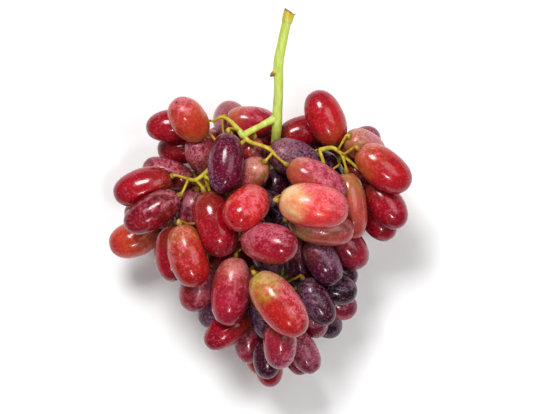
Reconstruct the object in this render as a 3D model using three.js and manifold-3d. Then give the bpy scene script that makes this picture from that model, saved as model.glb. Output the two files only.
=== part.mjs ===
// Bunch of red and dark table grapes, as picked, lying on its back on a flat surface.
// Millimetres, +Z up. +Y runs from the tail of the bunch to the cut end of its stalk.
// Places below are measured from the first fork of the stalk: x across the bunch, y along it
// towards the cut end, z above the surface. The finished bunch is moved to stand on the origin.
import * as THREE from "three";
import { mergeVertices } from "three/addons/utils/BufferGeometryUtils.js";
import Module from "manifold-3d";

const wasm = await Module();
wasm.setup();

// How a berry is shaped and faceted.
const BERRY = {
  fullness: 2.25, // exponent of its outline: 2 is an ellipse, more is blunter
  endShare: 0.93, // radius of the ball that fills each end, over the berry's own radius
  sides: 8,
  rings: 5,
  turn: 17, // each berry of a spray is turned this much more about its own length
  facetSwell: 1.035, // corners stand this far out, so that the faceted berry keeps its volume
};

// How berries lie against each other and against the stalk.
const SETTLE = {
  press: -1.2, // gap between the skins of berries of one spray: they press together
  grip: -2.1, // the same between the neighbours that hold a spray together
  apart: 0.8, // gap between berries of different sprays
  stalkGap: 0.9, // gap between a berry and a branch
  sink: 0.5, // how far a berry's underside is flattened by the surface it lies on
  rounds: 1500,
  stiffness: 0.3,
  pull: 0.3, // most that a spray draws two neighbouring berries together in a round
  relink: 250, // rounds after which each spray looks again which berries are neighbours
  holdRounds: 1100, // rounds over which a berry is drawn back to its given place, ever less
  upper: { hold: 0.1, sideways: 0.35, deep: 1 },
  under: { hold: 0.03, sideways: 1, deep: 1 },
  lying: { hold: 0.03, sideways: 1, deep: 1, weight: 0.25 }, // drawn down on to the surface
};

// Upper side of the bunch. Each spray is a list of berries:
// x, y, z of the middle, heading and pitch of the tip in degrees, length, width.
const UPPER_SPRAYS = {
  red_berries_left_top: [
    [-39.5, 0, 58, 125, 43, 25, 16.5],
    [-47.5, -2, 43, 189, 0, 24, 14.5],
    [-43.5, -12.5, 34, 185, -5, 22, 14.5],
    [-35, -17, 48, 120, 50, 25, 15],
    [-29, -13.5, 38, 100, -40, 24, 15],
  ],
  red_berries_left_arm: [
    [-48, -23, 42, 161, 0, 24, 13.5],
    [-60.5, -30, 50, 199, 0, 27.5, 16.5],
    [-56, -41.5, 60, 212, 0, 28, 15.5],
    [-65, -54, 45, 198, 0, 24, 16.5],
    [-59, -40.5, 36, 200, 0, 23, 15],
    [-41.5, -30, 38, 200, -40, 24, 15],
  ],
  red_berries_left_side: [
    [-47.5, -60.5, 46, 272, 0, 25, 15.5],
    [-39, -61, 60, 285, 0, 29, 18],
    [-28, -47, 70, 289, 0, 30.5, 19],
    [-39, -43, 42, 255, -20, 25, 15.5],
    [-35, -76, 50, 250, -15, 23, 16],
  ],
  dark_berry_crown: [[-22.5, -20, 70, 265, 5, 27.5, 16]],
  red_berries_crown_left: [
    [-21.5, 0, 42, 100, -65, 24, 16],
    [-9.5, -0.5, 48, 353, -5, 23.5, 13.5],
    [-7, -9, 36, 20, -30, 24, 15],
    [-13, -18.5, 50, 255, -30, 25, 15.5],
    [-9.5, -26, 62, 225, -35, 25, 15],
  ],
  red_berries_crown_right: [
    [22.5, 0.5, 58, 114, 10, 27, 17],
    [9.5, -4, 46, 15, -10, 24, 14.5],
    [20, -13.5, 42, 330, -20, 24, 15],
  ],
  dark_berries_crown_right: [
    [9.5, -16, 57, 338, -25, 26, 17],
    [24.5, -21.5, 46, 300, -40, 24, 15],
  ],
  dark_berries_heart: [
    [1.5, -29, 46, 265, -10, 25, 13.5],
    [-1, -42, 48, 300, -20, 24, 14],
    [-4, -59, 54, 280, -20, 25, 15.5],
  ],
  red_berries_front: [
    [-13.5, -39.5, 74, 225, 50, 27, 18.5],
    [-3, -55.5, 70, 350, 34, 28, 18],
  ],
  red_berries_front_right: [
    [16.5, -38.5, 78, 351, 0, 31.5, 20],
    [18, -27.5, 64, 332, -5, 29, 16.5],
    [19, -49, 63, 348, -5, 30, 16.5],
    [34, -38, 58, 277, -8, 30.5, 15],
    [31.5, -58.5, 50, 307, -15, 23, 15],
  ],
  red_berries_right_arm: [
    [48, -22, 58, 323, -8, 28.5, 17.5],
    [38.5, -13, 48, 330, -45, 24, 15],
    [35.5, -12.5, 38, 37, -15, 22, 14],
    [49.5, -38, 47, 305, 0, 25, 15.5],
    [46, -45, 34, 307, 0, 22, 14.5],
    [39, -27, 42, 300, -30, 24, 15],
  ],
  red_berries_lower_left: [
    [-20.5, -77, 68, 262, 0, 31.5, 17.5],
    [-22, -94.5, 54, 218, 0, 24.5, 14],
    [-12, -80, 44, 270, -20, 25, 15],
    [-13, -99.5, 44, 275, -10, 24, 13.5],
  ],
  dark_berry_left_low: [[-26, -85.5, 40, 225, -20, 21.5, 13.5]],
  red_berries_lower_front: [
    [1, -82.5, 70, 308, 5, 34, 19],
    [1.5, -100, 55, 270, -15, 24, 15],
  ],
  dark_berry_lower_front: [[-5.5, -89, 50, 285, -10, 21.5, 14]],
  dark_berries_lower_right: [
    [10, -64.5, 58, 280, -15, 25, 13.5],
    [22.5, -63, 56, 299, -10, 24, 15],
    [27, -68, 42, 330, -10, 22, 13.5],
    [26, -75.5, 46, 345, 0, 22, 14.5],
    [17.5, -81.5, 54, 302, -5, 24, 13.5],
  ],
  red_berries_right_low: [
    [27, -83, 36, 325, -10, 21, 14],
    [15.5, -89.5, 44, 285, -10, 22, 14],
  ],
  dark_berry_right_low: [[21.5, -91, 32, 315, -20, 21, 14]],
  red_berries_tail: [
    [12.5, -104, 44, 302, 0, 23, 13.5],
    [10, -105.5, 31, 285, 0, 21, 12.5],
    [1.5, -103, 28, 290, -10, 22, 13],
    [-3.5, -111.5, 28, 275, -20, 21, 13],
    [-8.5, -107, 20, 280, 0, 20, 12.5],
  ],
  dark_berry_tail: [[-4.5, -108, 40, 275, -10, 18.5, 12.5]],
};

// Under side of the bunch, laid out by a rule: rows across the bunch, berries leaning outwards.
const UNDER_ROWS = [
  // y of the row, x of its first and last berry, how many berries
  [-13, -28, 27, 3],
  [-27, -46, 39, 5],
  [-43, -50, 38, 5],
  [-59, -39, 28, 4],
  [-74, -25, 20, 3],
  [-89, -11, 12, 2],
];
const UNDER = {
  height: 8, // middle of a berry that lies on the surface
  rise: 20, // how much higher the outermost berries lie
  flatShare: 0.72, // the part of the under side, from its centre out, that lies on the surface
  centre: [-4, -48],
  reach: [62, 105], // how far from the centre it has risen by that much
  downTurn: 14, // larger turns the tips more towards the tail
  pitch: -14,
  length: 24,
  width: 15.5,
  scatter: 1.6,
  seed: 7,
};

// Stalk of the bunch, from its cut end through the bunch to the tail: x, y, z, radius.
const STALK = [
  [6.1, 49, 66, 2.5],
  [4.3, 42.5, 65.5, 2.1],
  [2.5, 34, 64.5, 2.2],
  [0.9, 25, 63.5, 2.3],
  [1, 14, 61.5, 2.1],
  [0.5, 5.4, 59, 2.2],
  [0.2, -3, 55, 2.3],
  [-0.5, -12, 47, 2.1],
  [-1, -27, 36, 2],
  [1, -45, 30, 1.8],
  [2, -63, 27, 1.6],
  [1, -78, 24, 1.4],
  [0, -90, 22, 1.2],
];

// Side branches that show on the upper side: x, y, z, radius. They end at a berry or a twig.
const BRANCHES = {
  leftFork: [
    [0, 1, 57, 1.5],
    [-8, -3.2, 59, 1.35],
    [-15, -6.9, 60.5, 1.3],
    [-20.5, -1, 60.5, 0.95],
    [-24.5, 1.2, 59, 0.8],
    [-28.5, -0.6, 57.5, 0.7],
  ],
  middleFork: [
    [-15, -6.9, 60.5, 1.2],
    [-11.9, -10, 62, 0.95],
    [-6.5, -11.8, 64, 0.9],
    [-2.9, -13.6, 65, 0.85],
    [-0.2, -16.5, 66, 0.75],
  ],
  leftSpray: [
    [-28.5, -20.5, 57, 1.2],
    [-32, -24, 60, 1.05],
    [-36.2, -27.1, 61, 0.95],
    [-40.3, -26.6, 58, 0.8],
  ],
  rightSpray: [
    [19.6, -13.6, 56, 1.15],
    [25.4, -12.7, 58.5, 1],
    [29.9, -15.9, 59.5, 0.85],
  ],
};

// Twigs that carry the berries. They grow through the gaps between the berries.
const TWIG = {
  cell: 2, // width of the squares in which the way of a twig is sought
  room: 1.5, // a twig keeps at least this far from a skin where it can
  crowding: 40, // how much a twig avoids places with less room than that
  margin: 6, // how far beyond the berries it may go
  highest: 8, // no twig starts from the stalk further up than this
  sprayLoad: 4, // how many berries the twig to a whole side spray is made for
  radius: 0.62, // a twig with one berry
  growth: 0.33, // how the radius grows with the number of berries
  most: 1.7,
  seat: 1.45, // radius of the swollen end that holds the berry
  seatGap: 0.35,
  skinGap: 0.7, // twigs are bent to lie this far from a skin
  nearby: 5, // berries this near to a twig are looked at when it is bent
  tolerance: 1.1, // how straight a stretch has to be to lose its knots
  sides: 4,
  bends: 40, // rounds of bending
  straighten: 0.3, // how far each of them straightens a twig
};

const STALK_SIDES = 7;
const BRANCH_SIDES = 5;
const STALK_STEP = 6;
const SCAR = { at: [-1.5, 20, 63.2], radius: 1.5 }; // left by a bud on the side of the stalk
const ROOM = {
  least: 0.2, // a berry nearer than this to the stem is cut
  cut: 0.4, // gap that the cut leaves
  sides: 6,
  overshoot: 0.5, // how far the cut runs on past each stretch, in radii
};
const SAME_PLACE = 0.05; // knots nearer to each other than this count as one
const WELD = 1e-3; // corners nearer to each other than this are one

const COLOURS = {
  red: { color: 0xa81c34, roughness: 0.35, metalness: 0 },
  dark: { color: 0x3f2440, roughness: 0.45, metalness: 0 },
  stem: { color: 0xb5c94f, roughness: 0.6, metalness: 0 },
};

const vector = (x, y, z) => new THREE.Vector3(x, y, z);
const ASKEW = vector(0.31, 0.17, 0.93); // no tube runs this way
const clamp = THREE.MathUtils.clamp;
const radians = THREE.MathUtils.degToRad;

// A repeatable random number from 0 to 1.
function seededRandom(seed) {
  let state = seed;
  return () => {
    state = (state * 1664525 + 1013904223) % 4294967296;
    return state / 4294967296;
  };
}

function makeBerry(spray, [x, y, z, heading, pitch, length, width], manner) {
  const h = radians(heading);
  const p = radians(pitch);
  return {
    spray,
    at: vector(x, y, z),
    home: vector(x, y, z),
    axis: vector(Math.cos(p) * Math.cos(h), Math.cos(p) * Math.sin(h), Math.sin(p)),
    half: length / 2,
    radius: width / 2,
    spine: length / 2 - (BERRY.endShare * width) / 2,
    narrowing: 1 - BERRY.endShare,
    manner,
  };
}

function upperBerries() {
  return Object.entries(UPPER_SPRAYS).flatMap(([spray, rows]) =>
    rows.map((row) => makeBerry(spray, row, SETTLE.upper)),
  );
}

function underSpray(x, y) {
  if (y > -16) return x < 0 ? "red_berries_under_crown_left" : "red_berries_under_crown_right";
  if (y > -52) {
    if (Math.abs(x) < 18) return "red_berries_under_middle";
    return x < 0 ? "red_berries_under_left" : "red_berries_under_right";
  }
  return x < 2 ? "red_berries_under_low_left" : "dark_berries_under_low_right";
}

function underBerries() {
  const random = seededRandom(UNDER.seed);
  const shake = () => (random() * 2 - 1) * UNDER.scatter;
  return UNDER_ROWS.flatMap(([rowY, first, last, count]) =>
    Array.from({ length: count }, (_, i) => {
      const x = first + ((last - first) * i) / (count - 1) + shake();
      const y = rowY + shake();
      const offX = (x - UNDER.centre[0]) / UNDER.reach[0];
      const offY = (y - UNDER.centre[1]) / UNDER.reach[1];
      const away = Math.hypot(offX, offY);
      const z = UNDER.height + UNDER.rise * away ** 4;
      const heading = THREE.MathUtils.radToDeg(Math.atan2(-UNDER.downTurn, x));
      const row = [x, y, z, heading, UNDER.pitch * away, UNDER.length, UNDER.width];
      const manner = away < UNDER.flatShare ? SETTLE.lying : SETTLE.under;
      return makeBerry(underSpray(x, y), row, manner);
    }),
  );
}

// The stalk and its branches as short straight pieces that berries are kept off.
function woodPieces() {
  return [STALK, ...Object.values(BRANCHES)].flatMap((points) =>
    points.slice(1).map(([x, y, z, radius], i) => {
      const from = vector(...points[i]);
      const to = vector(x, y, z);
      return {
        at: from.clone().add(to).multiplyScalar(0.5),
        axis: to.clone().sub(from).normalize(),
        spine: from.distanceTo(to) / 2,
        half: from.distanceTo(to) / 2 + radius,
        radius,
        narrowing: 0,
      };
    }),
  );
}

const radiusAt = (body, along) => body.radius * (1 - body.narrowing * (along / body.spine) ** 2);

// How body b lies from body a: the gap between their skins and the direction from a to b.
function between(a, b) {
  const d = vector().subVectors(b.at, a.at);
  const turn = a.axis.dot(b.axis);
  const da = d.dot(a.axis);
  const db = d.dot(b.axis);
  let s = clamp((da - turn * db) / Math.max(1e-6, 1 - turn * turn), -a.spine, a.spine);
  const t = clamp(turn * s - db, -b.spine, b.spine);
  s = clamp(turn * t + da, -a.spine, a.spine);
  const way = d.addScaledVector(b.axis, t).addScaledVector(a.axis, -s);
  const distance = Math.max(1e-6, way.length());
  return {
    gap: distance - radiusAt(a, s) - radiusAt(b, t),
    direction: way.divideScalar(distance),
  };
}

// The gap between a point and the skin of a berry, and the direction away from the berry.
function fromSkin(berry, point) {
  const d = vector().subVectors(point, berry.at);
  const along = clamp(d.dot(berry.axis), -berry.spine, berry.spine);
  const away = d.addScaledVector(berry.axis, -along);
  const distance = Math.max(1e-6, away.length());
  return { gap: distance - radiusAt(berry, along), away: away.divideScalar(distance) };
}

// How far the lowest point of a berry is below its middle.
function depthOf(berry) {
  const lean = Math.abs(berry.axis.z);
  return lean * berry.spine + berry.radius * (1 - berry.narrowing * lean);
}

// The pairs of neighbours that hold each spray together: the shortest links that join it.
function linksOf(berries) {
  const links = new Set();
  for (const spray of new Set(berries.map((b) => b.spray))) {
    const members = berries.flatMap((b, i) => (b.spray === spray ? [i] : []));
    const joined = [members[0]];
    while (joined.length < members.length) {
      let best = { gap: Infinity };
      for (const i of joined)
        for (const j of members) {
          if (joined.includes(j)) continue;
          const { gap } = between(berries[i], berries[j]);
          if (gap < best.gap) best = { gap, i, j };
        }
      joined.push(best.j);
      links.add(`${Math.min(best.i, best.j)} ${Math.max(best.i, best.j)}`);
    }
  }
  return links;
}

// Lets berries push each other, the stalk and the surface until each has its room.
function settle(berries, wood) {
  const { rounds, stiffness, pull, relink, holdRounds } = SETTLE;
  let links = new Set();
  for (let round = 0; round < rounds; round++) {
    if (round % relink === 0) links = linksOf(berries);
    const moves = berries.map(() => vector());
    for (let i = 0; i < berries.length; i++) {
      const a = berries[i];
      for (let j = i + 1; j < berries.length; j++) {
        const b = berries[j];
        const linked = links.has(`${i} ${j}`);
        if (!linked && a.at.distanceTo(b.at) > a.half + b.half + 1) continue;
        const { gap, direction } = between(a, b);
        const pressed = linked ? SETTLE.grip : SETTLE.press;
        const wanted = a.spray === b.spray ? pressed : SETTLE.apart;
        const push = (wanted - gap) * stiffness;
        if (push < 0 && !linked) continue;
        const move = Math.max(push, -pull);
        moves[i].addScaledVector(direction, -move);
        moves[j].addScaledVector(direction, move);
      }
      for (const piece of wood) {
        if (a.at.distanceTo(piece.at) > a.half + piece.half + 1) continue;
        const { gap, direction } = between(piece, a);
        if (gap < SETTLE.stalkGap) moves[i].addScaledVector(direction, (SETTLE.stalkGap - gap) * stiffness);
      }
    }
    const hold = Math.max(0, 1 - round / holdRounds);
    berries.forEach((berry, i) => {
      const { sideways, deep } = berry.manner;
      const pullHome = berry.manner.hold * hold;
      berry.at.x += moves[i].x * sideways + (berry.home.x - berry.at.x) * pullHome;
      berry.at.y += moves[i].y * sideways + (berry.home.y - berry.at.y) * pullHome;
      berry.at.z += moves[i].z * deep - (berry.manner.weight ?? 0);
      berry.at.z = Math.max(berry.at.z, depthOf(berry) - SETTLE.sink);
    });
  }
}

// The space in and round the bunch, in small cells that know how far the nearest skin is.
class FreeSpace {
  constructor(berries) {
    const box = new THREE.Box3();
    for (const { at, half } of berries) {
      box.expandByPoint(at.clone().addScalar(half));
      box.expandByPoint(at.clone().subScalar(half));
    }
    this.low = box.min.clone().subScalar(TWIG.margin);
    this.low.z = 0;
    const span = box.max.clone().addScalar(TWIG.margin).sub(this.low);
    this.counts = span.divideScalar(TWIG.cell).ceil().toArray();
    this.room = new Float32Array(this.counts[0] * this.counts[1] * this.counts[2]).fill(TWIG.room);
    for (const berry of berries) this.takeRoom(berry);
    const sides = [-1, 0, 1];
    this.steps = sides
      .flatMap((i) => sides.flatMap((j) => sides.map((k) => [i, j, k, Math.hypot(i, j, k) * TWIG.cell])))
      .filter(([, , , length]) => length > 0);
  }

  index(i, j, k) {
    return (k * this.counts[1] + j) * this.counts[0] + i;
  }

  cellAt(point) {
    return point.clone().sub(this.low).divideScalar(TWIG.cell).floor().toArray();
  }

  middleOf(i, j, k) {
    return vector(i + 0.5, j + 0.5, k + 0.5).multiplyScalar(TWIG.cell).add(this.low);
  }

  takeRoom(berry) {
    const reach = berry.half + TWIG.room;
    const from = this.cellAt(berry.at.clone().subScalar(reach)).map((v) => Math.max(0, v));
    const to = this.cellAt(berry.at.clone().addScalar(reach)).map((v, n) => Math.min(this.counts[n] - 1, v));
    for (let k = from[2]; k <= to[2]; k++)
      for (let j = from[1]; j <= to[1]; j++)
        for (let i = from[0]; i <= to[0]; i++) {
          const cell = this.index(i, j, k);
          this.room[cell] = Math.min(this.room[cell], fromSkin(berry, this.middleOf(i, j, k)).gap);
        }
  }

  // From every cell, the way back to the nearest of the given points that avoids the berries.
  spreadFrom(points) {
    const cost = new Float64Array(this.room.length).fill(Infinity);
    const back = new Int32Array(this.room.length).fill(-1);
    const queue = new Queue();
    for (const point of points) {
      const cell = this.index(...this.cellAt(point));
      cost[cell] = 0;
      queue.add(0, cell);
    }
    const [nx, ny] = this.counts;
    for (let entry = queue.take(); entry; entry = queue.take()) {
      const [soFar, cell] = entry;
      if (soFar > cost[cell]) continue;
      const i = cell % nx;
      const j = Math.floor(cell / nx) % ny;
      const k = Math.floor(cell / (nx * ny));
      for (const [di, dj, dk, length] of this.steps) {
        const place = [i + di, j + dj, k + dk];
        if (place.some((v, n) => v < 0 || v >= this.counts[n])) continue;
        const next = this.index(...place);
        const crowded = TWIG.room - this.room[next];
        const total = soFar + length * (1 + TWIG.crowding * crowded);
        if (total >= cost[next]) continue;
        cost[next] = total;
        back[next] = cell;
        queue.add(total, next);
      }
    }
    return back;
  }

  // The points from the given one back to where the spread began.
  wayBack(back, point) {
    const way = [];
    for (let cell = this.index(...this.cellAt(point)); cell >= 0; cell = back[cell]) way.push(cell);
    return way;
  }

  pointOf(cell) {
    const [nx, ny] = this.counts;
    return this.middleOf(cell % nx, Math.floor(cell / nx) % ny, Math.floor(cell / (nx * ny)));
  }
}

// A queue that gives its smallest entry first.
class Queue {
  constructor() {
    this.heap = [];
  }

  add(cost, cell) {
    const { heap } = this;
    heap.push([cost, cell]);
    for (let i = heap.length - 1; i > 0; ) {
      const up = (i - 1) >> 1;
      if (heap[up][0] <= heap[i][0]) break;
      [heap[up], heap[i]] = [heap[i], heap[up]];
      i = up;
    }
  }

  take() {
    const { heap } = this;
    const first = heap[0];
    const last = heap.pop();
    if (heap.length === 0) return first;
    heap[0] = last;
    for (let i = 0; ; ) {
      let least = i;
      for (const down of [2 * i + 1, 2 * i + 2])
        if (down < heap.length && heap[down][0] < heap[least][0]) least = down;
      if (least === i) return first;
      [heap[least], heap[i]] = [heap[i], heap[least]];
      i = least;
    }
  }
}

// Points along a straight-sided line, one at least every cell.
function alongLine(points) {
  return points.slice(1).flatMap((to, i) => {
    const from = points[i];
    const count = Math.ceil(from.distanceTo(to) / (TWIG.cell / 2));
    return Array.from({ length: count + 1 }, (_, n) => from.clone().lerp(to, n / count));
  });
}

const placesOf = (rows) => rows.map(([x, y, z]) => vector(x, y, z));

// The tree of twigs: for each twig the cells it runs through and how many berries it carries.
function growTwigs(berries, space) {
  const insideBunch = placesOf(STALK).filter((place) => place.y < TWIG.highest);
  const forks = [placesOf(BRANCHES.leftFork), placesOf(BRANCHES.middleFork)];
  const trunk = [insideBunch, ...forks].flatMap(alongLine);
  const firstWays = space.spreadFrom(trunk);
  const sprays = [placesOf(BRANCHES.leftSpray), placesOf(BRANCHES.rightSpray)];
  const twigs = sprays.map(([end]) => ({ end, way: space.wayBack(firstWays, end), load: TWIG.sprayLoad }));
  const grown = twigs.flatMap(({ way }) => way.map((cell) => space.pointOf(cell)));
  const back = space.spreadFrom([...trunk, ...sprays.flatMap(alongLine), ...grown]);
  const loads = new Map();
  const ends = berries.map((berry) => {
    const end = berry.at.clone().addScaledVector(berry.axis, -(berry.half + TWIG.seatGap));
    const mouth = end.clone().addScaledVector(berry.axis, -TWIG.room);
    const way = space.wayBack(back, mouth);
    for (const cell of way) loads.set(cell, (loads.get(cell) ?? 0) + 1);
    return { berry, end, mouth, way };
  });
  // A way stops where a twig with more berries already runs.
  const taken = new Map();
  ends.sort((a, b) => b.way.length - a.way.length);
  for (const { end, mouth, way } of ends) {
    const stop = way.findIndex((cell) => taken.has(cell));
    const own = stop < 0 ? way : way.slice(0, stop + 1);
    for (const cell of own) taken.set(cell, true);
    twigs.push({ end, mouth, way: own, loads: own.map((cell) => loads.get(cell)) });
  }
  return twigs;
}

// The point on any of the lines that lies nearest to the given one.
function nearestOn(lines, point) {
  let best = { distance: Infinity };
  for (const line of lines)
    for (let i = 1; i < line.length; i++) {
      const place = new THREE.Line3(line[i - 1], line[i]).closestPointToPoint(point, true, vector());
      const distance = place.distanceTo(point);
      if (distance < best.distance) best = { distance, place };
    }
  return best.place;
}

// Bends a twig clear of the berries. Its two ends at the berry and its foot stay.
function bendClear(run, berries) {
  const near = berries.filter((b) => run.some((knot) => b.at.distanceTo(knot.at) < b.half + TWIG.nearby));
  for (let round = 0; round < TWIG.bends; round++)
    for (let i = 2; i < run.length - 1; i++) {
      const { at, radius } = run[i];
      const straight = run[i - 1].at.clone().add(run[i + 1].at).multiplyScalar(0.5);
      at.lerp(straight, TWIG.straighten);
      for (const berry of near) {
        const { gap, away } = fromSkin(berry, at);
        const lacking = radius + TWIG.skinGap - gap;
        if (lacking > 0) at.addScaledVector(away, lacking);
      }
    }
}

// Leaves out the knots that a straight stretch doesn't need.
function thinOut(run, tolerance) {
  if (run.length < 3) return run;
  const line = new THREE.Line3(run[0].at, run[run.length - 1].at);
  let far = 0;
  let split = 0;
  for (let i = 1; i < run.length - 1; i++) {
    const distance = line.closestPointToPoint(run[i].at, true, vector()).distanceTo(run[i].at);
    if (distance > far) [far, split] = [distance, i];
  }
  if (far < tolerance) return [run[0], run[run.length - 1]];
  const firstPart = thinOut(run.slice(0, split + 1), tolerance);
  return [...firstPart, ...thinOut(run.slice(split), tolerance).slice(1)];
}

const twigRadius = (load) => Math.min(TWIG.most, TWIG.radius * load ** TWIG.growth);

// Every twig as a run of knots from its berry to its foot inside the branch that bears it.
function twigRuns(twigs, berries, space) {
  const lines = [STALK, ...Object.values(BRANCHES)].map(placesOf);
  return twigs.map(({ end, mouth, way, load, loads }) => {
    const run = way.map((cell, i) => ({ at: space.pointOf(cell), radius: twigRadius(load ?? loads[i]) }));
    if (mouth) {
      run[0] = { at: mouth, radius: TWIG.radius };
      run.unshift({ at: end, radius: TWIG.seat, isSeat: true });
    } else run[0].at.copy(end);
    const foot = nearestOn(lines, run[run.length - 1].at);
    if (run.length < 3) run.push({ at: foot, radius: run[run.length - 1].radius });
    else run[run.length - 1].at.copy(foot);
    bendClear(run, berries);
    lines.push(run.map((knot) => knot.at));
    return [run[0], ...thinOut(run.slice(1), TWIG.tolerance)];
  });
}

// A run without the knots that lie where the one before them lies.
function separate(run) {
  return run.filter((knot, i) => i === 0 || knot.at.distanceTo(run[i - 1].at) > SAME_PLACE);
}

// A closed tube through the knots, each with a radius of its own.
function tubeGeometry(run, sides) {
  const knots = separate(run);
  const along = (i) => {
    const before = knots[Math.max(i - 1, 0)].at;
    const after = knots[Math.min(i + 1, knots.length - 1)].at;
    return after.clone().sub(before).normalize();
  };
  let tangent = along(0);
  const side = ASKEW.clone().cross(tangent).normalize();
  const positions = [];
  knots.forEach(({ at, radius }, i) => {
    const next = along(i);
    side.applyQuaternion(new THREE.Quaternion().setFromUnitVectors(tangent, next));
    tangent = next;
    side.addScaledVector(tangent, -side.dot(tangent)).normalize();
    const other = tangent.clone().cross(side);
    for (let n = 0; n < sides; n++) {
      const angle = (2 * Math.PI * n) / sides;
      const offset = side.clone().multiplyScalar(Math.cos(angle)).addScaledVector(other, Math.sin(angle));
      positions.push(...at.clone().addScaledVector(offset, radius).toArray());
    }
  });
  const faces = [];
  for (let i = 0; i + 1 < knots.length; i++)
    for (let n = 0; n < sides; n++) {
      const a = i * sides + n;
      const b = i * sides + ((n + 1) % sides);
      faces.push(a, b, b + sides, a, b + sides, a + sides);
    }
  const last = (knots.length - 1) * sides;
  for (let n = 1; n + 1 < sides; n++) faces.push(0, n + 1, n, last, last + n, last + n + 1);
  const geometry = new THREE.BufferGeometry();
  geometry.setAttribute("position", new THREE.Float32BufferAttribute(positions, 3));
  geometry.setIndex(faces);
  return geometry;
}

// A berry turned about its own length, with blunt ends.
function berryGeometry({ at, axis, half, radius }, turn) {
  const profile = Array.from({ length: BERRY.rings + 2 }, (_, ring) => {
    const u = -Math.cos((Math.PI * ring) / (BERRY.rings + 1));
    const width = Math.max(0, 1 - Math.abs(u) ** BERRY.fullness) ** (1 / BERRY.fullness);
    return new THREE.Vector2(radius * BERRY.facetSwell * width, half * u);
  });
  const geometry = new THREE.LatheGeometry(profile, BERRY.sides, turn);
  geometry.applyQuaternion(new THREE.Quaternion().setFromUnitVectors(vector(0, 1, 0), axis));
  return geometry.translate(at.x, at.y, at.z);
}

// A closed geometry as a solid that can be joined and cut.
function solidOf(geometry) {
  const bare = geometry.clone();
  bare.deleteAttribute("normal");
  bare.deleteAttribute("uv");
  const merged = mergeVertices(bare, WELD);
  const index = merged.index.array;
  const faces = [];
  for (let i = 0; i < index.length; i += 3) {
    const [a, b, c] = index.slice(i, i + 3);
    if (a !== b && b !== c && c !== a) faces.push(a, b, c);
  }
  return new wasm.Manifold(
    new wasm.Mesh({
      numProp: 3,
      vertProperties: new Float32Array(merged.attributes.position.array),
      triVerts: new Uint32Array(faces),
    }),
  );
}

const joined = (solids) => solids.reduce((all, solid) => all.add(solid));

// The largest body of a solid, without the scraps that a cut leaves.
function mainBody(solid) {
  return solid.decompose().reduce((most, body) => (body.volume() > most.volume() ? body : most));
}

const knotsOf = (rows) => rows.map(([x, y, z, radius]) => ({ at: vector(x, y, z), radius }));

// Points at even steps along a smooth line through the knots.
function smoothRun(rows, step) {
  const curve = new THREE.CatmullRomCurve3(placesOf(rows));
  const count = Math.round(curve.getLength() / step);
  return Array.from({ length: count + 1 }, (_, i) => {
    const t = curve.getUtoTmapping(i / count) * (rows.length - 1);
    const knot = Math.min(Math.floor(t), rows.length - 2);
    return {
      at: curve.getPointAt(i / count),
      radius: THREE.MathUtils.lerp(rows[knot][3], rows[knot + 1][3], t - knot),
    };
  });
}

function budScar() {
  const { at, radius } = SCAR;
  return new THREE.IcosahedronGeometry(radius, 0).translate(...at);
}

// The stalk, its branches and all twigs as runs of knots, with the number of sides of each.
function stemParts(runs) {
  return [
    { run: smoothRun(STALK, STALK_STEP), sides: STALK_SIDES },
    ...Object.values(BRANCHES).map((rows) => ({ run: knotsOf(rows), sides: BRANCH_SIDES })),
    ...runs.map((run) => ({ run, sides: TWIG.sides })),
  ];
}

function stemSolid(parts) {
  const tubes = parts.map(({ run, sides }) => tubeGeometry(run, sides));
  return mainBody(joined([...tubes, budScar()].map(solidOf)));
}

// One straight stretch of a run, thicker by spare and longer at both ends.
function stretchSolid(from, to, spare) {
  const longer = (end, other) => {
    const more = spare + (end.isSeat ? 0 : end.radius * ROOM.overshoot);
    const outwards = end.at.clone().sub(other.at).setLength(more);
    return { at: outwards.add(end.at), radius: end.radius + spare };
  };
  return solidOf(tubeGeometry([longer(from, to), longer(to, from)], ROOM.sides));
}

// Every stretch of the stem: a solid that no berry may touch, and the room that is cut if one does.
function stemStretches(parts) {
  return parts.flatMap(({ run }) => {
    const knots = separate(run);
    return knots.slice(1).map((knot, i) => ({
      near: stretchSolid(knots[i], knot, ROOM.least),
      room: stretchSolid(knots[i], knot, ROOM.cut),
    }));
  });
}

// All berries of one spray, pressed together, flat where they lie on the surface.
function spraySolid(members, stretches) {
  const whole = joined(members.map((berry, i) => solidOf(berryGeometry(berry, radians(i * BERRY.turn)))));
  const standing = whole.trimByPlane([0, 0, 1], 0);
  const touching = stretches.filter(({ near }) => !standing.intersect(near).isEmpty());
  return mainBody(touching.reduce((solid, { room }) => solid.subtract(room), standing));
}

function toMesh(name, solid, { color, roughness, metalness }) {
  const { vertProperties, triVerts } = solid.getMesh();
  const geometry = new THREE.BufferGeometry();
  geometry.setAttribute("position", new THREE.Float32BufferAttribute(vertProperties, 3));
  geometry.setIndex([...triVerts]);
  const finish = new THREE.MeshStandardMaterial({ color, roughness, metalness });
  const mesh = new THREE.Mesh(geometry, finish);
  mesh.name = name;
  return mesh;
}

const berries = [...upperBerries(), ...underBerries()];
settle(berries, woodPieces());
const space = new FreeSpace(berries);
const runs = twigRuns(growTwigs(berries, space), berries, space);
const parts = stemParts(runs);
const stretches = stemStretches(parts);
const sprays = [...new Set(berries.map((berry) => berry.spray))];

const bunch = new THREE.Group();
bunch.add(toMesh("stem", stemSolid(parts), COLOURS.stem));
for (const spray of sprays) {
  const members = berries.filter((berry) => berry.spray === spray);
  const finish = spray.startsWith("dark") ? COLOURS.dark : COLOURS.red;
  bunch.add(toMesh(spray, spraySolid(members, stretches), finish));
}

// Stand the middle of the bunch on the origin.
const middle = new THREE.Box3().setFromObject(bunch).getCenter(vector());
for (const mesh of bunch.children) mesh.geometry.translate(-middle.x, -middle.y, 0);

export default bunch;
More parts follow.
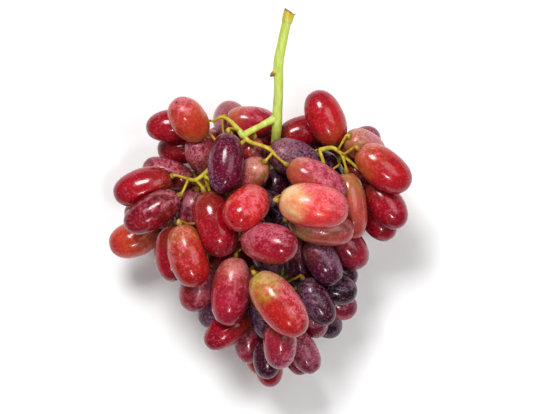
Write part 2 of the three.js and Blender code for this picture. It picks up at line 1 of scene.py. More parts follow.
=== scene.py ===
"""Looks of a bunch of red and dark table grapes, as picked, lying on its back.

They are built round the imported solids. The berries and the stalk are laid out by the same rules
as the solids, in millimetres from the first fork of the stalk, and then moved to where the
solids stand.
"""
import logging
import math
from collections.abc import Callable, Sequence
from dataclasses import dataclass, field
from enum import Enum
from typing import Any

import bmesh
import bpy
import numpy as np
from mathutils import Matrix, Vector


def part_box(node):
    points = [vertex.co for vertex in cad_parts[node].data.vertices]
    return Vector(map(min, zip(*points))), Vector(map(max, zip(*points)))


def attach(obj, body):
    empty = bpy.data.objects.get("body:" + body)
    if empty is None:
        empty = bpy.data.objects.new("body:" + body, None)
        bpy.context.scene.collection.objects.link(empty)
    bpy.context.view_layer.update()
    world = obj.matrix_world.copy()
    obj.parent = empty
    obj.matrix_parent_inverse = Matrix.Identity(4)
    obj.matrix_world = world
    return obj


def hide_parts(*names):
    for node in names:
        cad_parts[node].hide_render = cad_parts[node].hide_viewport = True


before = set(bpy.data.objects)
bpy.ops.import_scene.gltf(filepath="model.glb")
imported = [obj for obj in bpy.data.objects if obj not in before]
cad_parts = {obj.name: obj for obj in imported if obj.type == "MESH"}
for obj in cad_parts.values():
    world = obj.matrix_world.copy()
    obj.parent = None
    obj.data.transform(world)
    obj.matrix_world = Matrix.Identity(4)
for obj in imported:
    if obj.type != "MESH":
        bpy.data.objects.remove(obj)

log = logging.getLogger("grapes")

Array = np.ndarray
Row = tuple[float, ...]
Span = tuple[float, float]
Line = tuple[Array, Array, Array, Array]  # points, radii, thinness and cork

MM = 0.001  # a millimetre in the scene's metres
TINY = 1e-6  # keeps a division by a length that may be nothing from failing
BODY = "root"
MATH = "ShaderNodeMath"
MIX = "ShaderNodeMix"
NOISE = "ShaderNodeTexNoise"
RANGE = "ShaderNodeMapRange"
VECTOR = "ShaderNodeVectorMath"


class Tone(Enum):
    """How ripe a berry is: colour of its side, stem end and tip, and how much bloom covers it."""

    CORAL = ("#cc3024", "#d4583c", "#a81426", 0.25)
    ORANGE_RED = ("#be4826", "#c87c48", "#a82a26", 0.4)
    FIRE_RED = ("#a81e10", "#b0642c", "#86060e", 0.25)
    BRIGHT_RED = ("#aa121e", "#b45c30", "#800628", 0.2)
    CRIMSON = ("#940420", "#882c20", "#640424", -0.25)
    DEEP_CRIMSON = ("#76061e", "#6c2218", "#4a0420", 0.3)
    BLOOMED_CRIMSON = ("#9a0424", "#942c32", "#640828", 0.55)
    PINK_RED = ("#a21834", "#b4664a", "#7a0a2e", 0.4)
    DULL_RED = ("#841824", "#7e3e38", "#5a0c26", 0.3)
    ROSE_BROWN = ("#a04030", "#a47448", "#842436", 0.5)
    OLIVE_ROSE = ("#a85c48", "#a48c54", "#943a4a", 0.55)
    CREAM_CORAL = ("#d6443c", "#e2c088", "#a81224", 0.35)
    GREEN_RED = ("#ac2014", "#b0a03c", "#90040e", 0.45)
    MAUVE = ("#84203a", "#884638", "#5a163a", 0.5)
    WINE = ("#680a2e", "#5c1c28", "#3c0828", 0.5)
    DARK_PURPLE = ("#340a20", "#3c1824", "#20081a", 0.55)
    GREY_PURPLE = ("#4c1832", "#783830", "#300c24", 0.95)
    # Near black: a blue-black berry's own colour, made darker still as painted shade for the berries deep
    # in the bunch's gaps.
    BLUE_BLACK = ("#140a18", "#1c1018", "#0c0610", 0.15)
    SLATE = ("#221628", "#30202c", "#160c1e", 0.7)

    @property
    def tints(self) -> tuple[str, str, str]:
        """Returns the colours of the side, the stem end and the tip."""
        return self.value[:3]

    @property
    def bloom(self) -> float:
        """Returns how much bloom the berry has: 1 covers nearly all of it, and below 0 it is bare."""
        return self.value[3]


# Upper side of the bunch. Each spray is a list of berries:
# x, y, z of the middle, heading and pitch of the tip in degrees, length, width, tone.
UPPER_SPRAYS: dict[str, list[tuple[Any, ...]]] = {
    "red_berries_left_top": [
        (-39.5, 0, 58, 125, 43, 25, 16.5, Tone.ORANGE_RED),
        (-47.5, -2, 43, 189, 0, 24, 14.5, Tone.CRIMSON),
        (-43.5, -12.5, 34, 185, -5, 22, 14.5, Tone.DULL_RED),
        (-35, -17, 48, 120, 50, 25, 15, Tone.ROSE_BROWN),
        (-29, -13.5, 38, 100, -40, 24, 15, Tone.DULL_RED),
    ],
    "red_berries_left_arm": [
        (-48, -23, 42, 161, 0, 24, 13.5, Tone.DULL_RED),
        (-60.5, -30, 50, 199, 0, 27.5, 16.5, Tone.CRIMSON),
        (-56, -41.5, 60, 212, 0, 28, 15.5, Tone.DEEP_CRIMSON),
        (-65, -54, 45, 198, 0, 24, 16.5, Tone.ORANGE_RED),
        (-59, -40.5, 36, 200, 0, 23, 15, Tone.MAUVE),
        (-41.5, -30, 38, 200, -40, 24, 15, Tone.OLIVE_ROSE),
    ],
    "red_berries_left_side": [
        (-47.5, -60.5, 46, 272, 0, 25, 15.5, Tone.CRIMSON),
        (-39, -61, 60, 285, 0, 29, 18, Tone.FIRE_RED),
        (-28, -47, 70, 289, 0, 30.5, 19, Tone.CRIMSON),
        (-39, -43, 42, 255, -20, 25, 15.5, Tone.DEEP_CRIMSON),
        (-35, -76, 50, 250, -15, 23, 16, Tone.DULL_RED),
    ],
    "dark_berry_crown": [(-22.5, -20, 70, 265, 5, 27.5, 16, Tone.WINE)],
    "red_berries_crown_left": [
        (-21.5, 0, 42, 100, -65, 24, 16, Tone.MAUVE),
        (-9.5, -0.5, 48, 353, -5, 23.5, 13.5, Tone.PINK_RED),
        (-7, -9, 36, 20, -30, 24, 15, Tone.DEEP_CRIMSON),
        (-13, -18.5, 50, 255, -30, 25, 15.5, Tone.MAUVE),
        (-9.5, -26, 62, 225, -35, 25, 15, Tone.ROSE_BROWN),
    ],
    "red_berries_crown_right": [
        (22.5, 0.5, 58, 114, 10, 27, 17, Tone.BRIGHT_RED),
        (9.5, -4, 46, 15, -10, 24, 14.5, Tone.CRIMSON),
        (20, -13.5, 42, 330, -20, 24, 15, Tone.DEEP_CRIMSON),
    ],
    "dark_berries_crown_right": [
        (9.5, -16, 57, 338, -25, 26, 17, Tone.GREY_PURPLE),
        (24.5, -21.5, 46, 300, -40, 24, 15, Tone.SLATE),
    ],
    "dark_berries_heart": [
        (1.5, -29, 46, 265, -10, 25, 13.5, Tone.DARK_PURPLE),
        (-1, -42, 48, 300, -20, 24, 14, Tone.BLUE_BLACK),
        (-4, -59, 54, 280, -20, 25, 15.5, Tone.GREY_PURPLE),
    ],
    "red_berries_front": [
        (-13.5, -39.5, 74, 225, 50, 27, 18.5, Tone.CORAL),
        (-3, -55.5, 70, 350, 34, 28, 18, Tone.BLOOMED_CRIMSON),
    ],
    "red_berries_front_right": [
        (16.5, -38.5, 78, 351, 0, 31.5, 20, Tone.CREAM_CORAL),
        (18, -27.5, 64, 332, -5, 29, 16.5, Tone.PINK_RED),
        (19, -49, 63, 348, -5, 30, 16.5, Tone.OLIVE_ROSE),
        (34, -38, 58, 277, -8, 30.5, 15, Tone.OLIVE_ROSE),
        (31.5, -58.5, 50, 307, -15, 23, 15, Tone.MAUVE),
    ],
    "red_berries_right_arm": [
        (48, -22, 58, 323, -8, 28.5, 17.5, Tone.BRIGHT_RED),
        (38.5, -13, 48, 330, -45, 24, 15, Tone.ROSE_BROWN),
        (35.5, -12.5, 38, 37, -15, 22, 14, Tone.MAUVE),
        (49.5, -38, 47, 305, 0, 25, 15.5, Tone.CRIMSON),
        (46, -45, 34, 307, 0, 22, 14.5, Tone.CRIMSON),
        (39, -27, 42, 300, -30, 24, 15, Tone.DEEP_CRIMSON),
    ],
    "red_berries_lower_left": [
        (-20.5, -77, 68, 262, 0, 31.5, 17.5, Tone.PINK_RED),
        (-22, -94.5, 54, 218, 0, 24.5, 14, Tone.CRIMSON),
        (-12, -80, 44, 270, -20, 25, 15, Tone.GREY_PURPLE),
        (-13, -99.5, 44, 275, -10, 24, 13.5, Tone.MAUVE),
    ],
    "dark_berry_left_low": [(-26, -85.5, 40, 225, -20, 21.5, 13.5, Tone.GREY_PURPLE)],
    "red_berries_lower_front": [
        (1, -82.5, 70, 308, 5, 34, 19, Tone.GREEN_RED),
        (1.5, -100, 55, 270, -15, 24, 15, Tone.MAUVE),
    ],
    "dark_berry_lower_front": [(-5.5, -89, 50, 285, -10, 21.5, 14, Tone.SLATE)],
    "dark_berries_lower_right": [
        (10, -64.5, 58, 280, -15, 25, 13.5, Tone.GREY_PURPLE),
        (22.5, -63, 56, 299, -10, 24, 15, Tone.GREY_PURPLE),
        (27, -68, 42, 330, -10, 22, 13.5, Tone.DARK_PURPLE),
        (26, -75.5, 46, 345, 0, 22, 14.5, Tone.BLUE_BLACK),
        (17.5, -81.5, 54, 302, -5, 24, 13.5, Tone.DARK_PURPLE),
    ],
    "red_berries_right_low": [
        (27, -83, 36, 325, -10, 21, 14, Tone.MAUVE),
        (15.5, -89.5, 44, 285, -10, 22, 14, Tone.MAUVE),
    ],
    "dark_berry_right_low": [(21.5, -91, 32, 315, -20, 21, 14, Tone.SLATE)],
    "red_berries_tail": [
        (12.5, -104, 44, 302, 0, 23, 13.5, Tone.MAUVE),
        (10, -105.5, 31, 285, 0, 21, 12.5, Tone.MAUVE),
        (1.5, -103, 28, 290, -10, 22, 13, Tone.DEEP_CRIMSON),
        (-3.5, -111.5, 28, 275, -20, 21, 13, Tone.CRIMSON),
        (-8.5, -107, 20, 280, 0, 20, 12.5, Tone.FIRE_RED),
    ],
    "dark_berry_tail": [(-4.5, -108, 40, 275, -10, 18.5, 12.5, Tone.DARK_PURPLE)],
}

# Stalk of the bunch, from its cut end to the tail, and the side branches on the upper side:
# x, y, z, radius.
STALK: list[Row] = [
    (6.1, 49, 66, 2.5),
    (4.3, 42.5, 65.5, 2.1),
    (2.5, 34, 64.5, 2.2),
    (0.9, 25, 63.5, 2.3),
    (1, 14, 61.5, 2.1),
    (0.5, 5.4, 59, 2.2),
    (0.2, -3, 55, 2.3),
    (-0.5, -12, 47, 2.1),
    (-1, -27, 36, 2),
    (1, -45, 30, 1.8),
    (2, -63, 27, 1.6),
    (1, -78, 24, 1.4),
    (0, -90, 22, 1.2),
]
LEFT_FORK: list[Row] = [
    (0, 1, 57, 2.4),
    (-3, -0.6, 57.7, 1.65),
    (-8, -3.2, 59, 1.35),
    (-13, -5.9, 60.1, 1.5),
    (-15, -6.9, 60.5, 1.75),
    (-16.6, -5.2, 60.5, 1.35),
    (-20.5, -1, 60.5, 0.95),
    (-24.5, 1.2, 59, 0.8),
    (-28.5, -0.6, 57.5, 0.7),
]
MIDDLE_FORK: list[Row] = [
    (-15, -6.9, 60.5, 1.2),
    (-11.9, -10, 62, 0.95),
    (-6.5, -11.8, 64, 0.9),
    (-2.9, -13.6, 65, 0.85),
    (-0.2, -16.5, 66, 0.75),
]
LEFT_SPRAY: list[Row] = [
    (-28.5, -20.5, 57, 1.2),
    (-32, -24, 60, 1.05),
    (-36.2, -27.1, 61, 0.95),
    (-40.3, -26.6, 58, 0.8),
]
RIGHT_SPRAY: list[Row] = [
    (19.6, -13.6, 56, 1.15),
    (25.4, -12.7, 58.5, 1),
    (29.9, -15.9, 59.5, 0.85),
]
BRANCHES: list[list[Row]] = [LEFT_FORK, MIDDLE_FORK, LEFT_SPRAY, RIGHT_SPRAY]
BUD_STUB: list[Row] = [
    (0.4, 22, 63.6, 1.5),
    (-0.7, 21.1, 63.8, 1.35),
    (-1.7, 20.3, 63.8, 1.05),
    (-2.3, 19.7, 63.7, 0.75),
    (-2.6, 19.2, 63.6, 0.3),
]
# Rings of the stalk's cut, from inside the bark over the rim and down into the pith. How far each
# follows the tear and its height past that, in millimetres. Its share of the stalk's radius and
# how much of the horn's lean is added. How thin-barked and how dry it is.
CUT_RINGS: list[Row] = [
    (0, -5.2, 0.6, 0, 0, 0),
    (0, -4.2, 0.93, 0, 0.15, 0),
    (0, -3.2, 0.99, 0, 0.4, 0),
    (0, -1.6, 1.02, 0, 0.8, 0.05),
    (0.4, -0.4, 1.05, 0, 0.85, 0.1),
    (0.8, -0.2, 0.53, 0.5, 0.9, 0.4),
    (1, 0, 0, 1.02, 1, 0.95),
    (1, -0.1, 0, 0.9, 1, 0.5),
    (0.6, -0.5, 0.62, 0, 0.8, 0.1),
    (0.5, -0.7, 0.3, 0, 0.8, 0.3),
]


def linear(code: str) -> tuple[float, float, float, float]:
    """Turns an sRGB hex colour into linear red, green, blue and alpha.

    Args:
        code: The colour as "#rrggbb".

    Returns:
        Its linear values, with full alpha.
    """
    parts = [int(code[i : i + 2], 16) / 255 for i in (1, 3, 5)]
    red, green, blue = (c / 12.92 if c <= 0.04045 else ((c + 0.055) / 1.055) ** 2.4 for c in parts)
    return red, green, blue, 1.0


def add_node(
    tree: bpy.types.NodeTree,
    kind: str,
    settings: dict[str, Any] | None = None,
    inputs: dict[str | int, Any] | None = None,
    output: str | None = None,
) -> bpy.types.NodeSocket | None:
    """Adds a node with its settings and links.

    Args:
        tree: The node tree that it goes into.
        kind: Blender's name for the kind of node.
        settings: Values of the node's own properties.
        inputs: A value, or the socket to link from, for inputs by name or number.
        output: Name of the output wanted; the first one in use otherwise.

    Returns:
        That output, or None for a node that has none.
    """
    node = tree.nodes.new(kind)
    for name, value in (settings or {}).items():
        setattr(node, name, value)
    for name, value in (inputs or {}).items():
        named = (s for s in node.inputs if s.enabled and s.name == name)
        socket = node.inputs[name] if isinstance(name, int) else next(named)
        if isinstance(value, bpy.types.NodeSocket):
            tree.links.new(value, socket)
        else:
            socket.default_value = value
    outputs = [s for s in node.outputs if s.enabled and output in (None, s.name)]
    return outputs[0] if outputs else None


def seeded_random(seed: int) -> Callable[[], float]:
    """Gives a repeatable source of numbers from 0 to 1, the same one as the solids use.

    It is a linear congruential generator with the usual numbers for 32 bits.

    Args:
        seed: Where it starts.

    Returns:
        A function that gives the next number.
    """
    factor, addend, modulus = 1664525, 1013904223, 2**32
    state = seed

    def draw() -> float:
        """Returns the next number."""
        nonlocal state
        state = (state * factor + addend) % modulus
        return state / modulus

    return draw


@dataclass(frozen=True)
class Manner:
    """How a berry gives way while the bunch settles.

    hold draws it back to its given place, sideways and deep scale its moves, weight draws it down.
    """

    hold: float
    sideways: float
    deep: float = 1
    weight: float = 0


UPPER = Manner(hold=0.1, sideways=0.35)
UNDER = Manner(hold=0.03, sideways=1)
LYING = Manner(hold=0.03, sideways=1, weight=0.25)


@dataclass(eq=False)
class Berry:
    """One berry: where its middle is, where its tip points, its size and its tone."""

    spray: str
    at: Array
    axis: Array
    half: float
    radius: float
    tone: Tone
    manner: Manner

    @classmethod
    def from_row(cls, spray: str, row: Sequence[Any], manner: Manner) -> "Berry":
        """Makes a berry from a row of the table.

        Args:
            spray: Name of its spray.
            row: x, y, z, heading, pitch, length, width and tone.
            manner: How it gives way.

        Returns:
            The berry.
        """
        x, y, z, heading, pitch, length, width, tone = row
        h, p = math.radians(heading), math.radians(pitch)
        axis = np.array((math.cos(p) * math.cos(h), math.cos(p) * math.sin(h), math.sin(p)))
        return cls(spray, np.array((x, y, z), float), axis, length / 2, width / 2, tone, manner)


@dataclass
class Bodies:
    """Rounded bodies with a straight spine each, as arrays."""

    at: Array
    axis: Array
    half: Array
    radius: Array
    spine: Array
    narrowing: float

    END_SHARE = 0.93  # radius of the ball that fills a berry's end, over the berry's own radius

    @classmethod
    def of_berries(cls, berries: Sequence[Berry]) -> "Bodies":
        """Gathers berries into arrays.

        Args:
            berries: The berries.

        Returns:
            Their bodies, in the same order.
        """
        half = np.array([b.half for b in berries])
        radius = np.array([b.radius for b in berries])
        at, axis = (np.array([getattr(b, name) for b in berries]) for name in ("at", "axis"))
        return cls(at, axis, half, radius, half - cls.END_SHARE * radius, 1 - cls.END_SHARE)

    @classmethod
    def of_wood(cls, lines: Sequence[Sequence[Row]]) -> "Bodies":
        """Gathers the straight pieces of the stalk and its branches into arrays.

        Args:
            lines: For each line its knots, with x, y, z and radius.

        Returns:
            A body for each piece.
        """
        pairs = [(np.array(a), np.array(b)) for line in lines for a, b in zip(line, line[1:])]
        start, end = (np.array([pair[n][:3] for pair in pairs]) for n in (0, 1))
        length = np.linalg.norm(end - start, axis=1)
        radius = np.array([pair[1][3] for pair in pairs])
        axis = (end - start) / length[:, None]
        return cls((start + end) / 2, axis, length / 2 + radius, radius, length / 2, 0.0)

    def take(self, index: Array) -> "Bodies":
        """Returns the bodies with the given numbers."""
        arrays = (self.at, self.axis, self.half, self.radius, self.spine)
        return Bodies(*(values[index] for values in arrays), self.narrowing)

    def radius_at(self, along: Array) -> Array:
        """Returns the radius at a place along the spine."""
        return self.radius * (1 - self.narrowing * (along / self.spine) ** 2)

    def gap_to(self, other: "Bodies") -> tuple[Array, Array, Array]:
        """Measures the gaps to other bodies, one for one.

        Args:
            other: As many bodies as these.

        Returns:
            The gap, the direction from these to the others, and the place on these spines.
        """
        d = other.at - self.at
        turn = np.sum(self.axis * other.axis, axis=-1)
        da = np.sum(d * self.axis, axis=-1)
        db = np.sum(d * other.axis, axis=-1)
        s = np.clip((da - turn * db) / np.maximum(TINY, 1 - turn * turn), -self.spine, self.spine)
        t = np.clip(turn * s - db, -other.spine, other.spine)
        s = np.clip(turn * t + da, -self.spine, self.spine)
        way = d + other.axis * t[:, None] - self.axis * s[:, None]
        distance = np.maximum(TINY, np.linalg.norm(way, axis=-1))
        return distance - self.radius_at(s) - other.radius_at(t), way / distance[:, None], s

    def gap_to_point(self, point: Array) -> tuple[Array, Array]:
        """Measures how far points are from these skins.

        Args:
            point: One point, or one for each body.

        Returns:
            The gaps and the directions away from the bodies.
        """
        d = point - self.at
        along = np.clip(np.sum(d * self.axis, axis=-1), -self.spine, self.spine)
        away = d - self.axis * along[..., None]
        distance = np.maximum(TINY, np.linalg.norm(away, axis=-1))
        return distance - self.radius_at(along), away / distance[..., None]


@dataclass
class BerryLayout:
    """Lays out all berries and lets them push each other, the stalk and the surface."""

    press: float = -1.2  # gap between berries of a spray, in millimetres: they press together
    grip: float = -2.1  # and between those that hold the spray together
    apart: float = 0.8  # least gap between berries of different sprays
    stalk_gap: float = 0.9
    sink: float = 0.5  # how flat the surface presses a berry
    rounds: int = 1500
    stiffness: float = 0.3  # share of what is lacking that a round makes good
    pull: float = 0.3  # most that neighbours draw each other together in a round
    relink: int = 250  # rounds between two looks at which berries are neighbours
    hold_rounds: int = 1100  # rounds until a berry is no longer drawn back to its place
    near_margin: float = 1  # bodies that are further apart than this take no part
    # Rows across the under side: y, first and last x, and how many berries.
    under_rows: list[Row] = field(
        default_factory=lambda: [
            (-13, -28, 27, 3),
            (-27, -46, 39, 5),
            (-43, -50, 38, 5),
            (-59, -39, 28, 4),
            (-74, -25, 20, 3),
            (-89, -11, 12, 2),
        ]
    )
    under_height: float = 8
    under_rise: float = 20  # the underside curves up by this much at its edge
    under_flat_share: float = 0.72  # berries nearer to the middle than this lie on the surface
    under_centre: tuple[float, float] = (-4, -48)
    under_reach: tuple[float, float] = (62, 105)
    under_down_turn: float = 14  # turns the tips from straight sideways towards the tail
    under_pitch: float = -14
    under_size: tuple[float, float] = (24, 15.5)  # length and width
    under_scatter: float = 1.6
    under_seed: int = 7
    crown_edge: float = -16  # the under sprays change at these places along the bunch
    low_edge: float = -52
    middle_half: float = 18  # half the width of the middle spray
    low_split: float = 2  # where red turns to dark on the low part
    under_red_tones: tuple[Tone, ...] = (Tone.CRIMSON, Tone.PINK_RED, Tone.DEEP_CRIMSON, Tone.DULL_RED)
    under_dark_tones: tuple[Tone, ...] = (Tone.DARK_PURPLE, Tone.SLATE, Tone.GREY_PURPLE)

    def under_spray(self, x: float, y: float) -> str:
        """Finds the spray that an under-side berry belongs to.

        Args:
            x: Its place across the bunch.
            y: Its place along the bunch.

        Returns:
            The name of the spray.
        """
        side = "left" if x < 0 else "right"
        if y > self.crown_edge:
            return f"red_berries_under_crown_{side}"
        if y > self.low_edge:
            central = abs(x) < self.middle_half
            return f"red_berries_under_{'middle' if central else side}"
        return "red_berries_under_low_left" if x < self.low_split else "dark_berries_under_low_right"

    def under_berries(self) -> list[Berry]:
        """Lays out the under side in rows across the bunch, berries leaning outwards.

        Returns:
            The berries.
        """
        draw = seeded_random(self.under_seed)
        berries: list[Berry] = []
        for row_y, first, last, count in self.under_rows:
            for i in range(count):
                x = first + (last - first) * i / (count - 1) + (draw() * 2 - 1) * self.under_scatter
                y = row_y + (draw() * 2 - 1) * self.under_scatter
                off_x = (x - self.under_centre[0]) / self.under_reach[0]
                off_y = (y - self.under_centre[1]) / self.under_reach[1]
                away = math.hypot(off_x, off_y)
                z = self.under_height + self.under_rise * away**4
                heading = math.degrees(math.atan2(-self.under_down_turn, x))
                spray = self.under_spray(x, y)
                tones = self.under_dark_tones if spray.startswith("dark") else self.under_red_tones
                tone = tones[len(berries) % len(tones)]
                row = (x, y, z, heading, self.under_pitch * away, *self.under_size, tone)
                manner = LYING if away < self.under_flat_share else UNDER
                berries.append(Berry.from_row(spray, row, manner))
        return berries

    def links(self, bodies: Bodies, sprays: Array) -> set[tuple[int, int]]:
        """Finds the pairs of neighbours that hold each spray together.

        Args:
            bodies: All berries.
            sprays: The spray of each.

        Returns:
            Pairs of berry numbers, the smaller one first.
        """
        found: set[tuple[int, int]] = set()
        for spray in dict.fromkeys(sprays):
            members = np.flatnonzero(sprays == spray)
            count = len(members)
            a, b = (grid.ravel() for grid in np.meshgrid(members, members, indexing="ij"))
            gaps = bodies.take(a).gap_to(bodies.take(b))[0].reshape(count, count)
            joined = [0]
            while len(joined) < count:
                loose = [n for n in range(count) if n not in joined]
                i, j = min(((i, j) for i in joined for j in loose), key=lambda pair: gaps[pair])
                joined.append(j)
                pair = sorted((int(members[i]), int(members[j])))
                found.add((pair[0], pair[1]))
        return found

    def settle(self, berries: list[Berry]) -> None:
        """Moves the berries until each has its room.

        Args:
            berries: The berries, whose places change.
        """
        bodies = Bodies.of_berries(berries)
        wood = Bodies.of_wood([STALK, *BRANCHES])
        sprays = np.array([b.spray for b in berries])
        home = bodies.at.copy()
        first, second = np.triu_indices(len(berries), 1)
        alike = sprays[first] == sprays[second]
        reach = bodies.half[first] + bodies.half[second] + self.near_margin
        berry_of, wood_of = (g.ravel() for g in np.indices((len(berries), len(wood.half))))
        wood_reach = bodies.half[berry_of] + wood.half[wood_of] + self.near_margin
        lean = np.abs(bodies.axis[:, 2])
        depth = lean * bodies.spine + bodies.radius * (1 - bodies.narrowing * lean)
        hold, sideways, deep, weight = (
            np.array([getattr(b.manner, name) for b in berries])
            for name in ("hold", "sideways", "deep", "weight")
        )
        linked = np.zeros(len(first), bool)
        for step in range(self.rounds):
            if step % self.relink == 0:
                pairs = self.links(bodies, sprays)
                linked = np.array([pair in pairs for pair in zip(first.tolist(), second.tolist())])
            apart = np.linalg.norm(bodies.at[second] - bodies.at[first], axis=1)
            near = np.flatnonzero(linked | (apart <= reach))
            a, b = first[near], second[near]
            gap, direction, _ = bodies.take(a).gap_to(bodies.take(b))
            wanted = np.where(alike[near], np.where(linked[near], self.grip, self.press), self.apart)
            push = (wanted - gap) * self.stiffness
            move = np.where((push < 0) & ~linked[near], 0, np.maximum(push, -self.pull))
            moves = np.zeros_like(bodies.at)
            np.add.at(moves, a, -direction * move[:, None])
            np.add.at(moves, b, direction * move[:, None])
            offset = np.linalg.norm(bodies.at[berry_of] - wood.at[wood_of], axis=1)
            close = np.flatnonzero(offset <= wood_reach)
            gap, direction, _ = wood.take(wood_of[close]).gap_to(bodies.take(berry_of[close]))
            lacking = np.maximum(0, self.stalk_gap - gap) * self.stiffness
            np.add.at(moves, berry_of[close], direction * lacking[:, None])
            pull_home = (hold * max(0.0, 1 - step / self.hold_rounds))[:, None]
            bodies.at[:, :2] += moves[:, :2] * sideways[:, None] + (home - bodies.at)[:, :2] * pull_home
            bodies.at[:, 2] += moves[:, 2] * deep - weight
            bodies.at[:, 2] = np.maximum(bodies.at[:, 2], depth - self.sink)
        for berry, at in zip(berries, bodies.at):
            berry.at = at

    def build(self) -> list[Berry]:
        """Lays out the bunch.

        Returns:
            Every berry, settled.
        """
        upper = [Berry.from_row(s, row, UPPER) for s, rows in UPPER_SPRAYS.items() for row in rows]
        berries = upper + self.under_berries()
        self.settle(berries)
        return berries


@dataclass
class FreeSpace:
    """The space in and round the bunch, in small cells that know how far the nearest skin is."""

    bodies: Bodies
    cell: float = 2  # millimetres
    room_wanted: float = 1.5
    crowding: float = 40  # what a way costs more for each millimetre of room that it lacks
    margin: float = 6  # space that is looked at round the bunch
    exposure: float = 4  # what a way costs more where no berry lies above it
    least_saving: float = 1e-9  # a way that saves less than this isn't taken for better

    def __post_init__(self) -> None:
        """Measures the room in every cell."""
        half = self.bodies.half[:, None]
        self.low = (self.bodies.at - half).min(axis=0) - self.margin
        self.low[2] = 0
        high = (self.bodies.at + half).max(axis=0) + self.margin
        self.counts = np.ceil((high - self.low) / self.cell).astype(int)
        self.room = np.full(self.counts, self.room_wanted)
        for i in range(len(self.bodies.half)):
            reach = self.bodies.half[i] + self.room_wanted
            start = np.maximum(0, self.cell_at(self.bodies.at[i] - reach))
            stop = np.minimum(self.counts - 1, self.cell_at(self.bodies.at[i] + reach)) + 1
            axes = [np.arange(a, b) for a, b in zip(start, stop)]
            cells = np.stack(np.meshgrid(*axes, indexing="ij"), axis=-1)
            one = self.bodies.take(np.full(cells.shape[:3], i))
            gap, _ = one.gap_to_point(self.middle_of(cells))
            part = tuple(slice(a, b) for a, b in zip(start, stop))
            self.room[part] = np.minimum(self.room[part], gap)

    def cell_at(self, point: Array) -> Array:
        """Returns the numbers of the cell that a point is in."""
        return np.floor((point - self.low) / self.cell).astype(int)

    def middle_of(self, cell: Array) -> Array:
        """Returns the middle of a cell."""
        return (cell + 0.5) * self.cell + self.low

    def spread_from(self, points: Array) -> Array:
        """Finds, from every cell, the way back to the nearest of some points that avoids the berries.

        Args:
            points: Where the ways end.

        Returns:
            For each cell the flat number of the next cell on its way, or -1 where the way ends.
        """
        shape = tuple(self.counts)
        cost = np.full(shape, np.inf)
        back = np.full(shape, -1)
        cost[tuple(self.cell_at(points).T)] = 0
        number = np.arange(cost.size).reshape(shape)
        covered = np.logical_or.accumulate((self.room < 0)[:, :, ::-1], axis=2)[:, :, ::-1]
        toll = 1 + self.crowding * (self.room_wanted - self.room) + self.exposure * ~covered
        steps = [(i, j, k) for i in (-1, 0, 1) for j in (-1, 0, 1) for k in (-1, 0, 1) if i or j or k]
        changed = True
        while changed:
            changed = False
            for step in steps:
                here = tuple(slice(max(0, n), m + min(0, n)) for n, m in zip(step, shape))
                there = tuple(slice(max(0, -n), m + min(0, -n)) for n, m in zip(step, shape))
                total = cost[there] + toll[here] * (math.hypot(*step) * self.cell)
                better = total < cost[here] - self.least_saving
                if better.any():
                    cost[here][better] = total[better]
                    back[here][better] = number[there][better]
                    changed = True
        return back

    def way_back(self, back: Array, point: Array) -> list[int]:
        """Follows the way from a point to its end.

        Args:
            back: What spread_from gave.
            point: Where to start.

        Returns:
            Flat numbers of the cells on the way.
        """
        way = [int(np.ravel_multi_index(tuple(self.cell_at(point)), self.counts))]
        flat = back.ravel()
        while flat[way[-1]] >= 0:
            way.append(int(flat[way[-1]]))
        return way

    def point_of(self, number: int) -> Array:
        """Returns the middle of the cell with a flat number."""
        return self.middle_of(np.array(np.unravel_index(number, self.counts)))


@dataclass
class Twig:
    """A twig: its knots from the berry to its foot, and the radius at each."""

    knots: list[Array]
    radii: list[float]
    has_seat: bool


